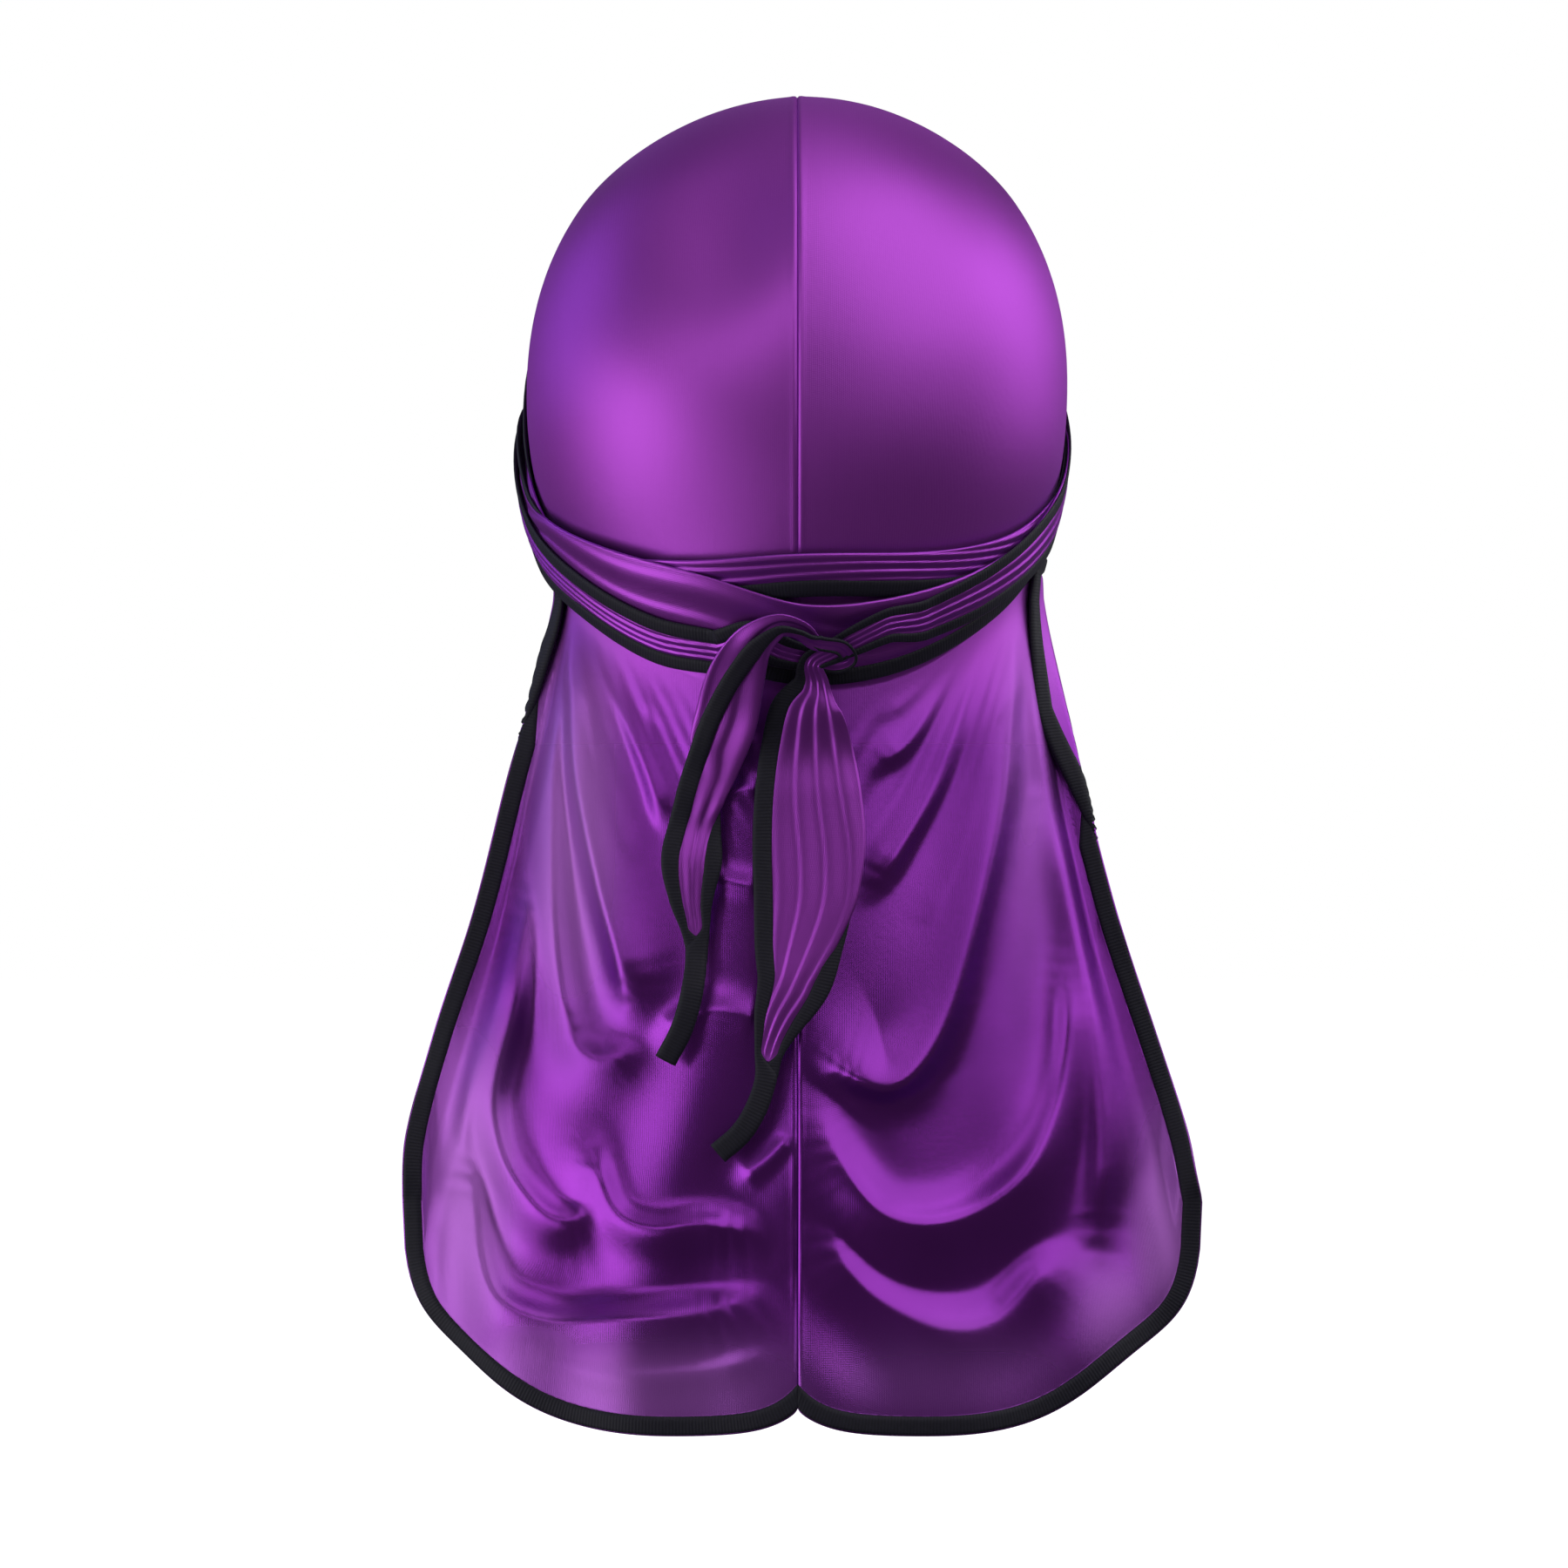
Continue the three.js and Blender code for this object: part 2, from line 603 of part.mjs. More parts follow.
function tailStation(row) {
  const x = row.side * capeHalfWidth;
  const z = -napeDrop - row.down * (capeDrop - napeDrop);
  const place = point(x, faceBehind(x, z, tailReach) + gap, z);
  const width = row.bare ? tipWidth : row.width * strapWidth;
  return { place, normal: point(0, 1, 0), width, bare: row.bare };
}

const wrapStep = 9.4; // degrees between two sections on the head
const freeStep = 3.3; // length between two sections in the knot
const hangStep = 11; // and in the tail

// Sections of a tie from end to end: place, direction across it, normal, width and the distance
// that it stands off the head, or none where it hangs free.
function layTie(wrap, knot, tail, side) {
  const first = wrap[0].turn;
  const sweep = wrap[wrap.length - 1].turn - first;
  const count = Math.round(Math.abs(sweep) / wrapStep);
  const stations = [];
  for (let index = 0; index <= count; index += 1) {
    const turn = first + (sweep * index) / count;
    const read = (name) => readTable(wrap, 'turn', name, turn);
    const stand = standOf(read('layer'));
    const angle = radians(turn);
    const level = levelOf(read('level'));
    const place = offHead(angle, level, stand);
    const width = read('width') * strapWidth;
    stations.push({ place, normal: headNormal(angle, level), width, stand, bare: 0 });
  }
  const free = [...knot.map(knotStation), ...tail.map(tailStation)];
  const start = stations[stations.length - 1];
  const knots = [start.place, ...free.map((row) => row.place)];
  const path = new THREE.CatmullRomCurve3(knots, false, 'centripetal');
  const rows = [start, ...free];
  const knotEnd = knot.length / free.length;
  const steps = [];
  for (let share = 0; share < 1;) {
    const length = path.getPoint(Math.min(1, share + 0.001)).distanceTo(path.getPoint(share)) / 0.001;
    share += (share < knotEnd ? freeStep : hangStep) / length;
    steps.push(share);
  }
  const stretch = 1 / steps[steps.length - 1];
  for (const step of steps) {
    const share = step * stretch;
    const row = Math.min(free.length - 1, Math.floor(share * free.length));
    const part = ease(0, 1, share * free.length - row);
    const width = rows[row].width * (1 - part) + rows[row + 1].width * part;
    const normal = rows[row].normal.clone().lerp(rows[row + 1].normal, part);
    stations.push({ place: path.getPoint(share), normal, width, bare: rows[row].bare });
  }
  stations.forEach((station, index) => {
    const after = stations[Math.min(stations.length - 1, index + 1)].place;
    const along = after.clone().sub(stations[Math.max(0, index - 1)].place);
    station.across = station.normal.clone().cross(along).multiplyScalar(side).normalize();
    station.normal = along.cross(station.across).multiplyScalar(side).normalize();
  });
  return stations;
}

// Point of a tie's section, a reach across it and a height above its underside.
function tiePlace(station, reach, height) {
  const place = station.place.clone().addScaledVector(station.across, reach);
  if (station.stand === undefined) return place.addScaledVector(station.normal, height);
  return offHead(turnOf(place), place.z, station.stand + height);
}

const tapeShare = 0.32; // most of a tie's width that each tape may take

function tapeOf(station) {
  if (station.bare) return (station.width - gap) / 2;
  return Math.min(tapeWidth, tapeShare * station.width);
}

// Satin of a tie: a pleated ribbon between its two tapes, up to where the bare tape starts.
function makeRibbon(stations) {
  const shares = [-1, -0.5, 0, 0.5, 1];
  const ridges = [0, 1, 0, 1, 0];
  return makeLoft(stations.filter((station) => !station.bare).map((station) => {
    const half = station.width / 2 - tapeOf(station) - gap;
    const rise = pleatHeight * clamp(half / tapeWidth - 0.3, 0, 1);
    const under = shares.map((share, index) => tiePlace(station, share * half, ridges[index] * rise));
    const over = shares.map((share, index) => tiePlace(station, share * half, cloth + ridges[index] * rise));
    return [...under, ...over.reverse()];
  }));
}

// Tape along one edge of a tie, the upper one (1) or the lower one (-1).
function makeTape(stations, edge) {
  return makeLoft(stations.map((station) => {
    const far = edge * (station.width / 2);
    const near = far - edge * tapeOf(station);
    return [
      tiePlace(station, near, 0),
      tiePlace(station, far, 0),
      tiePlace(station, far, cloth),
      tiePlace(station, near, cloth),
    ];
  }));
}

// Materials and assembly

function satin() {
  return new THREE.MeshStandardMaterial({ color: 0x9a3cc0, roughness: 0.42, metalness: 0 });
}

function blackTape() {
  return new THREE.MeshStandardMaterial({ color: 0x17131d, roughness: 0.7, metalness: 0 });
}

const durag = new THREE.Group();

function addPiece(name, geometry, material) {
  const piece = new THREE.Mesh(geometry, material);
  piece.name = name;
  durag.add(piece);
}

addPiece('panel_left', makeWall(panelGrids[LEFT]), satin());
addPiece('panel_right', makeWall(panelGrids[RIGHT]), satin());
addPiece('front_binding', makeFrontBinding(), blackTape());
addPiece('side_binding_left', makeSideBinding(LEFT), blackTape());
addPiece('side_binding_right', makeSideBinding(RIGHT), blackTape());

const leftTie = layTie(leftWrap, leftKnot, leftTail, LEFT);
const rightTie = layTie(rightWrap, rightKnot, rightTail, RIGHT);
addPiece('strap_left', makeRibbon(leftTie), satin());
addPiece('strap_right', makeRibbon(rightTie), satin());
addPiece('strap_left_tape_upper', makeTape(leftTie, 1), blackTape());
addPiece('strap_left_tape_lower', makeTape(leftTie, -1), blackTape());
addPiece('strap_right_tape_upper', makeTape(rightTie, 1), blackTape());
addPiece('strap_right_tape_lower', makeTape(rightTie, -1), blackTape());

export default durag;
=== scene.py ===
"""A durag tied for wearing, seen from behind: two satin panels, black binding, two long ties."""

import bpy
import numpy as np
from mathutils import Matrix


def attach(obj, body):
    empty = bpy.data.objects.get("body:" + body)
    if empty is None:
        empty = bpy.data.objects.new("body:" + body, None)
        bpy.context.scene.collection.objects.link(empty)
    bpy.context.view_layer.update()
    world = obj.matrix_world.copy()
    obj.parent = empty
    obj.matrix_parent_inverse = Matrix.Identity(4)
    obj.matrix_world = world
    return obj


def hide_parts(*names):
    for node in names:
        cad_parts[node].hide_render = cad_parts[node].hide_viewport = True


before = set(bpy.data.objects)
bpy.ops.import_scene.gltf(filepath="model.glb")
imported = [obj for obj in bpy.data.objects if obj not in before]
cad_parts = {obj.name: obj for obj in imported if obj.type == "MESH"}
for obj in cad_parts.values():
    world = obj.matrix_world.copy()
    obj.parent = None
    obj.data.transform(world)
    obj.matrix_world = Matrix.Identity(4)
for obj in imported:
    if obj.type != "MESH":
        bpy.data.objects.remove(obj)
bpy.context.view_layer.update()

# Satin panels
# Each half is cut in one piece of satin: half of the crown, running on below the nape as half of
# the loose cape. The two are sewn face to face, so the seam shows as a fine ridge with a groove.

# The durag keeps the shape of the head that it was tied on. The face looks along -Y, the nape
# lies at +Y and +X is the wearer's left. The top of the head is the origin.
head_half_width = 0.079
head_front = 0.097
head_back = 0.098
head_top = 0.088
head_bottom = 0.105
head_round = 2.1
head_egg = 0.1
neck_share = 0.68
neck_curve = 4
neck_join = 8

LEFT, RIGHT = 1, -1


def ease(low, high, value):
    """Smooth step of value from 0 at low to 1 at high."""
    share = np.clip((value - low) / (high - low), 0, 1)
    return share * share * (3 - 2 * share)


def stack(x, y, z):
    """Arrays of x, y and z as one array of points."""
    return np.stack(np.broadcast_arrays(x, y, z), axis=-1)


def length(vectors):
    """Length of each vector."""
    return np.linalg.norm(vectors, axis=-1, keepdims=True)


def unit(vectors):
    """Each vector divided by its length."""
    return vectors / np.maximum(length(vectors), 1e-12)


def dome_share(z):
    """Share of the widest girth at a height: a superellipse over the top and one below."""
    half = np.where(z > -head_top, head_top, head_bottom)
    rise = np.minimum(1, np.abs(z + head_top) / half)
    return (1 - rise**head_round) ** (1 / head_round)


def girth_share(z):
    """The same share, where the dome runs into the neck below its widest level."""
    rise = np.clip((-head_top - z) / head_bottom, 0, 1)
    neck = neck_share * (1 - (1 - rise) ** neck_curve)
    dome = dome_share(z)
    return np.where(z > -head_top, dome, (dome**neck_join + neck**neck_join) ** (1 / neck_join))


def head_point(turn, z):
    """Point on the head at a height, turned from the nape. Each level section is a superellipse,
    wider behind than in front."""
    side = np.abs(np.sin(turn) / head_half_width) ** head_round
    depth = np.where(np.cos(turn) < 0, head_front, head_back)
    rear = np.abs(np.cos(turn) / depth) ** head_round
    reach = girth_share(z) / (side + rear) ** (1 / head_round)
    y = reach * np.cos(turn)
    return stack(reach * np.sin(turn) * (1 + head_egg * y / head_back), y, z)


def head_along(aim):
    """Point of the head that lies in a direction from its centre."""
    depth = np.where(aim[..., 1] < 0, head_front, head_back)
    height = np.where(aim[..., 2] > 0, head_top, head_bottom)
    parts = np.abs(aim / stack(head_half_width, depth, height)) ** head_round
    reach = parts.sum(axis=-1) ** (-1 / head_round)
    z = aim[..., 2] * reach - head_top
    spread = girth_share(z) / np.maximum(0.05, dome_share(z))
    grown = np.where(z > -head_top, reach, reach * spread)
    y = aim[..., 1] * grown
    return stack(aim[..., 0] * grown * (1 + head_egg * y / head_back), y, z)


def direction_of(place):
    """Direction from the head's centre to a point of the head, the inverse of head_along."""
    x, y, z = place[..., 0], place[..., 1], place[..., 2]
    spread = np.where(z > -head_top, 1, girth_share(z) / dome_share(z))
    x = x / (1 + head_egg * y / head_back)
    return unit(stack(x / spread, y / spread, z + head_top))


def between(start, end, share):
    """Direction a share of the way from start to end along the great circle."""
    angle = np.arccos(np.clip((start * end).sum(axis=-1, keepdims=True), -1, 1))
    share = np.asarray(share)[..., None]
    scale = np.maximum(np.sin(angle), 1e-9)
    return start * np.sin((1 - share) * angle) / scale + end * np.sin(share * angle) / scale


def read_table(table, key, column, place):
    """Smooth cubic curve through a table's column, read at a place along its key column."""
    keys, values = table[:, key], table[:, column]
    slopes = np.empty(len(keys))
    slopes[1:-1] = (values[2:] - values[:-2]) / (keys[2:] - keys[:-2])
    slopes[0] = (values[1] - values[0]) / (keys[1] - keys[0])
    slopes[-1] = (values[-1] - values[-2]) / (keys[-1] - keys[-2])
    gone = np.abs(keys - keys[0])
    row = np.clip(np.searchsorted(gone, np.abs(place - keys[0])) - 1, 0, len(keys) - 2)
    span = keys[row + 1] - keys[row]
    share = np.clip((place - keys[row]) / span, 0, 1)
    rise = share * share * (3 - 2 * share)
    start = values[row] * (1 - rise) + values[row + 1] * rise
    lead = slopes[row] * share * (1 - share) ** 2
    trail = slopes[row + 1] * share * share * (1 - share)
    return start + span * (lead - trail)


cloth = 0.0006
binding_width = 0.006
rim_gap = 0.00035

forehead_drop = 0.078
temple_drop = 0.106
temple_turn = np.radians(120)
ear_arch = 0.007
ear_drop = 0.143
ear_turn = np.radians(70)
nape_drop = 0.178
tie_rise = 2.6
forehead_dip = 2.6
front_ease = 0.35
nape_ease = 0.7

cape_half_width = 0.115
cape_widest_drop = 0.328
cape_lobe = 0.0635
cape_notch = 0.0095
cape_set_back = 0.074
cape_wrap = 0.032
cape_rest = 0.75
lobe_round = 2.4
lobe_full = 0.045
notch_width = 0.07
corner_cut = 0.07
corner_place = 0.84
corner_reach = 0.15

crown_rows = 96
cape_rows = 210
panel_columns = 120
strip_columns = 18
# How much wider than it was cut each side edge hangs. Columns: share down, share wider.
side_spread = {
    LEFT: np.array([(0, 0), (0.06, -0.022), (0.2, -0.024), (0.35, -0.01), (0.6, -0.008), (0.75, 0),
                    (0.9, 0.009), (1, 0.001)]),
    RIGHT: np.array([(0, 0), (0.12, -0.02), (0.3, -0.032), (0.5, -0.026), (0.7, -0.02), (0.85, 0),
                     (1, 0.026)]),
}


def tie_point(across):
    """Point of the line where the cape leaves the head, under the ties."""
    turn = ear_turn * across
    share = np.sin(turn) / np.sin(ear_turn)
    return head_point(turn, -nape_drop + (nape_drop - ear_drop) * share**tie_rise)


def forehead_point(across):
    """Point of the crown's front edge, which dips towards the temple."""
    turn = np.pi + (temple_turn - np.pi) * across
    return head_point(turn, -forehead_drop - (temple_drop - forehead_drop) * across**forehead_dip)


forehead_aim = direction_of(head_point(np.pi, -forehead_drop))
nape_aim = direction_of(head_point(0.0, -nape_drop))
temple_aim = direction_of(head_point(temple_turn, -temple_drop))
ear_aim = direction_of(tie_point(1.0))


def crown_point(across, down):
    """Point of the crown: great circles from the seam to the side edge, eased onto both hems."""
    start = np.arctan2(forehead_aim[2], -forehead_aim[1])
    end = np.pi + np.arctan2(-nape_aim[2], nape_aim[1])
    angle = start + (end - start) * down
    seam = stack(0.0, -np.cos(angle), np.sin(angle))
    edge = between(temple_aim, ear_aim, down)
    edge = unit(edge + stack(0.0, 0.0, ear_arch / head_half_width * np.sin(np.pi * down)))
    aim = between(seam, edge, across)
    front = direction_of(forehead_point(across)) - between(forehead_aim, temple_aim, across)
    nape = direction_of(tie_point(across)) - between(nape_aim, ear_aim, across)
    aim = aim + front * (1 - ease(0, front_ease, down))[..., None]
    aim = aim + nape * ease(nape_ease, 1, down)[..., None]
    return head_along(aim)


# Columns: down from the ties to the hem, spread of the side edge.
flare_table = np.array([
    (0.00, 0.000), (0.05, 0.015), (0.13, 0.080), (0.34, 0.290),
    (0.54, 0.510), (0.74, 0.790), (0.90, 0.960), (1.00, 1.000),
])


def cape_point(across, down):
    """Point of the smooth cape, a share across from the seam and a share down to the hem."""
    tie = tie_point(across)
    edge = tie_point(1.0)[0]
    share = tie[..., 0] / edge
    inset = binding_width + rim_gap
    width = edge + (cape_half_width - inset - edge) * read_table(flare_table, 0, 1, down)
    outline = np.maximum(0, 1 - across**lobe_round) ** (1 / lobe_round)
    outline = outline + lobe_full * np.sin(np.pi * across) ** 2
    outline = outline - corner_cut * np.exp(-(((across - corner_place) / corner_reach) ** 2))
    notch = cape_notch * np.exp(-share / notch_width)
    hem = -cape_widest_drop - (cape_lobe - inset) * outline + notch
    back = cape_set_back - cape_wrap * share**2
    rest = ease(0, cape_rest, down)
    return stack(
        share * width,
        tie[..., 1] + (back - tie[..., 1]) * rest,
        tie[..., 2] + (hem - tie[..., 2]) * down,
    )


# Crests of the folds: width and height in millimetres, lean (how much steeper the side is that lies
# left of the line's run, seen with +X to the right; below 0 it is the other side), and the line's
# places as shares across (the wearer's right is negative) and down.
fold_crests = [
    (4.5, 3.2, 0.0, [(0.97, 0.35), (0.96, 0.47), (0.95, 0.59), (0.93, 0.68), (0.9, 0.76),
        (0.85, 0.83)]),
    (6.0, 4.9, -0.3, [(0.98, 0.07), (0.91, 0.18), (0.84, 0.29), (0.76, 0.41), (0.68, 0.5),
        (0.6, 0.55)]),
    (7.5, 7.3, 0.5, [(0.94, 0.02), (0.85, 0.12), (0.76, 0.22), (0.62, 0.33), (0.52, 0.41),
        (0.45, 0.49)]),
    (6.0, 3.0, -0.2, [(0.69, 0.5), (0.62, 0.545), (0.53, 0.55), (0.45, 0.52)]),
    (7.5, 6.8, -0.35, [(0.89, 0.37), (0.86, 0.47), (0.84, 0.57), (0.84, 0.65), (0.82, 0.7),
        (0.76, 0.74), (0.68, 0.76), (0.59, 0.77), (0.52, 0.75), (0.5, 0.69)]),
    (6.5, 5.7, -0.35, [(0.51, 0.65), (0.48, 0.7), (0.42, 0.74), (0.33, 0.75), (0.21, 0.74),
        (0.07, 0.76)]),
    (8.5, 6.5, -0.4, [(0.89, 0.74), (0.83, 0.81), (0.77, 0.88), (0.7, 0.91), (0.56, 0.9),
        (0.42, 0.88), (0.21, 0.86), (0.04, 0.85)]),
    (3.8, 3.0, 0.3, [(0.8, 0.01), (0.72, 0.07), (0.6, 0.11), (0.48, 0.17), (0.42, 0.23)]),
    (3.2, 2.3, 0.3, [(0.7, 0.01), (0.59, 0.04), (0.49, 0.09)]),
    (2.8, 1.9, 0.3, [(0.61, 0.01), (0.52, 0.03), (0.44, 0.06)]),
    (4.8, 2.4, 0.3, [(0.86, 0.02), (0.77, 0.13), (0.62, 0.22), (0.47, 0.31)]),
    (6.0, 2.2, 0.0, [(0.68, 0.95), (0.54, 0.95), (0.38, 0.95), (0.18, 0.94), (0.04, 0.93)]),
    (2.6, 1.4, 0.0, [(0.31, 0.08), (0.22, 0.08), (0.1, 0.07)]),
    (3.0, 1.8, 0.0, [(0.33, 0.14), (0.23, 0.15), (0.1, 0.14)]),
    (3.4, 2.0, 0.0, [(0.32, 0.25), (0.21, 0.27), (0.09, 0.28)]),
    (5.0, 2.7, 0.0, [(0.38, 0.5), (0.3, 0.46), (0.19, 0.45), (0.06, 0.47)]),
    (3.4, 2.2, 0.0, [(0.01, 0.64), (0.07, 0.66), (0.13, 0.68)]),
    (8.0, 7.6, -0.45, [(-0.85, 0.01), (-0.77, 0.13), (-0.67, 0.24), (-0.53, 0.36), (-0.41, 0.47),
        (-0.31, 0.53), (-0.22, 0.55), (-0.12, 0.53), (-0.04, 0.5)]),
    (4.4, 3.5, -0.3, [(-0.72, 0.01), (-0.6, 0.08), (-0.47, 0.16), (-0.32, 0.23), (-0.21, 0.29)]),
    (3.4, 2.6, -0.3, [(-0.63, 0.01), (-0.5, 0.05), (-0.38, 0.09), (-0.26, 0.12)]),
    (3.0, 2.0, -0.3, [(-0.53, 0.01), (-0.41, 0.03), (-0.29, 0.05)]),
    (4.8, 2.4, -0.3, [(-0.73, 0.08), (-0.63, 0.18), (-0.49, 0.28), (-0.34, 0.37)]),
    (6.5, 5.7, 0.0, [(-0.87, 0.22), (-0.89, 0.4), (-0.88, 0.53), (-0.84, 0.64), (-0.78, 0.76),
        (-0.71, 0.88)]),
    (8.5, 6.8, 0.35, [(-0.87, 0.42), (-0.82, 0.52), (-0.77, 0.59), (-0.69, 0.65), (-0.58, 0.7),
        (-0.44, 0.73), (-0.3, 0.74), (-0.18, 0.72), (-0.09, 0.65), (-0.04, 0.58)]),
    (8.5, 4.6, -0.35, [(-0.05, 0.72), (-0.1, 0.8), (-0.19, 0.85), (-0.31, 0.88), (-0.44, 0.88),
        (-0.56, 0.84), (-0.65, 0.83)]),
    (6.0, 4.1, 0.0, [(-0.91, 0.04), (-0.92, 0.21), (-0.96, 0.36), (-0.98, 0.5), (-0.99, 0.62)]),
]
mm = 0.001
crest_steps = 5
crest_reach = 3.6
crest_round = 1.6
crest_fade_in = (-0.02, 0.2)
crest_fade_out = (0.8, 1.02)
under_ties = 0.1


def catmull_rom(knots, share):
    """Uniform Catmull-Rom curve through rows of values, read at shares counted in rows."""
    points = np.concatenate([2 * knots[:1] - knots[1:2], knots, 2 * knots[-1:] - knots[-2:-1]])
    row = np.clip(np.ceil(share).astype(int) - 1, 0, len(knots) - 2)
    t = (share - row)[:, None]
    a, b, c, d = points[row], points[row + 1], points[row + 2], points[row + 3]
    bend = (2 * a - 5 * b + 4 * c - d) * t**2
    return 0.5 * (2 * b + (c - a) * t + bend + (3 * b - 3 * c + d - a) * t**3)


def ridge_lift(x, z):
    """How far the folds lift the cape: the cube root of the sum of the cubes of a bell across each
    crest line. The bell is wider on its gentle side, and fades at the line's ends except where it
    comes out from under the ties."""
    lift = np.zeros(x.shape)
    for width, height, lean, line in fold_crests:
        across, down = np.array(line).T
        place = cape_point(np.abs(across), down)
        knots = np.stack([np.sign(across) * place[:, 0], place[:, 2]], axis=1)
        crest = catmull_rom(knots, np.linspace(0, len(line) - 1, crest_steps * (len(line) - 1) + 1))
        margin = crest_reach * width * mm * (1 + abs(lean))
        low, high = crest.min(axis=0) - margin, crest.max(axis=0) + margin
        close = (x > low[0]) & (x < high[0]) & (z > low[1]) & (z < high[1])
        start, step = crest[:-1], np.diff(crest, axis=0)
        from_start = np.stack([x[close], z[close]], axis=-1)[:, None] - start
        part = np.clip((from_start * step).sum(-1) / (step * step).sum(-1), 0, 1)
        distance = length(from_start - part[..., None] * step)[..., 0]
        along = (np.arange(len(step)) + part) / len(step)
        fade = 1 - ease(*crest_fade_out, along)
        if down[0] > under_ties:
            fade = fade * ease(*crest_fade_in, along)
        turned = step[..., 0] * from_start[..., 1] - step[..., 1] * from_start[..., 0]
        facing = turned / (length(step)[:, 0] * np.maximum(distance, 1e-9))
        reach = width * mm * (1 - lean * facing)
        bell = (fade * np.exp(-((distance / reach) ** crest_round))).max(axis=1)
        lift[close] = (lift[close] ** 3 + (height * mm * bell) ** 3) ** (1 / 3)
    return lift


gather_depth = 0.0002
gather_count = 11.0
gather_slant = 1.8
gather_sway, gather_sway_rate = 2.4, 9
gather_start = (0, 0.03)
gather_end = (0.05, 0.25)
gather_seam_side = (0.1, 0.4)
gather_edge_side = (0.7, 0.92)
drape_count, drape_offset = 3.2, 0.2
drape_sway, drape_sway_rate = 0.35, 4
drape_ease = (0.2, 0.7)
folds_ease = (0.01, 0.14)
crown_fade = (-0.1, 0.05)
drape_depth = 0.0009
edge_hold = 0.8
edge_zone = 0.9
hem_flare = 0.0050
hem_flare_zone = 0.82
hem_trim = {LEFT: 0.0024, RIGHT: 0.0050}
trim_place = 0.7
column_crowd = 0.45
seam_half_gap = 0.00004


def gather_lift(across, down, side):
    """Fine gathers, cosines that fan out from the ties towards the seam and fade out, and long soft
    waves that reach the hem."""
    fan = across + gather_slant * down
    sway = gather_sway * np.sin(gather_sway_rate * fan + side)
    fine = np.cos(2 * np.pi * gather_count * fan + sway)
    fine = gather_depth * fine * ease(*gather_start, down) * (1 - ease(*gather_end, down))
    fine = fine * ease(*gather_seam_side, fan) * (1 - ease(*gather_edge_side, across))
    phase = drape_count * across + drape_sway * np.sin(drape_sway_rate * down + side)
    phase = phase + drape_offset * side
    return fine + drape_depth * np.cos(2 * np.pi * phase) * ease(*drape_ease, down)


# Shallow hollows and swells of the crown. Columns: side, height, half width, half height, rise.
crown_swells = np.array([
    (0.050, -0.100, 0.030, 0.022, 0.0009),
    (-0.045, -0.060, 0.030, 0.030, 0.0009),
    (-0.030, -0.132, 0.030, 0.016, -0.0010),
    (0.030, -0.140, 0.030, 0.014, -0.0008),
])
# Hollows that start at the seam on its left. Columns: height, half height, depth.
seam_hollows = np.array([(-0.046, 0.032, 0.0068), (-0.124, 0.020, 0.0014)])
hollow_side = 0.025
rear_ease = 0.02
top_drop = 0.0015
top_ease = (-0.035, -0.004)
seam_lip, lip_place, lip_reach = 0.00013, 0.0011, 0.0008
seam_groove, groove_reach = 0.0006, 0.0004
stitch_run = 0.0026
pucker_rise = 0.00007
pucker_reach = 0.003
pucker_sway, pucker_sway_run = 0.6, 0.004


def crown_relief(place):
    """Rise of the crown's cloth: broad swells, a hollow that starts at the seam on the left, and
    small puckers along the seam's stitches."""
    x, y, z = place[..., 0], place[..., 1], place[..., 2]
    rise = np.zeros(x.shape)
    for side, height, half_width, half_height, depth in crown_swells:
        away = ((x - side) / half_width) ** 2 + ((z - height) / half_height) ** 2
        rise += depth * np.exp(-away)
    reach = np.maximum(0, x) / hollow_side
    slack = reach * np.exp((1 - reach**2) / 2)
    for height, half_height, depth in seam_hollows:
        rise -= depth * slack * np.exp(-(((z - height) / half_height) ** 2))
    rise *= ease(-rear_ease, rear_ease, y)
    rise -= top_drop * ease(*top_ease, z)
    path = np.arctan2(z + head_top, -y) * head_back
    sway = pucker_sway * np.sin(path / pucker_sway_run)
    pucker = np.sin(2 * np.pi * path / stitch_run + sway)
    return rise + pucker_rise * pucker * np.exp(-np.abs(x) / pucker_reach)


def seam_relief(x):
    """The seam's profile: a low lip beside a groove where the two edges turn in."""
    x = np.abs(x)
    lip = seam_lip * np.exp(-(((x - lip_place) / lip_reach) ** 2))
    return lip - seam_groove * np.exp(-((x / groove_reach) ** 2))


def grid_normals(points):
    """Unit normals of a grid, from the differences along its rows and columns."""
    along, across = np.gradient(points, axis=0), np.gradient(points, axis=1)
    return unit(np.cross(across, along))


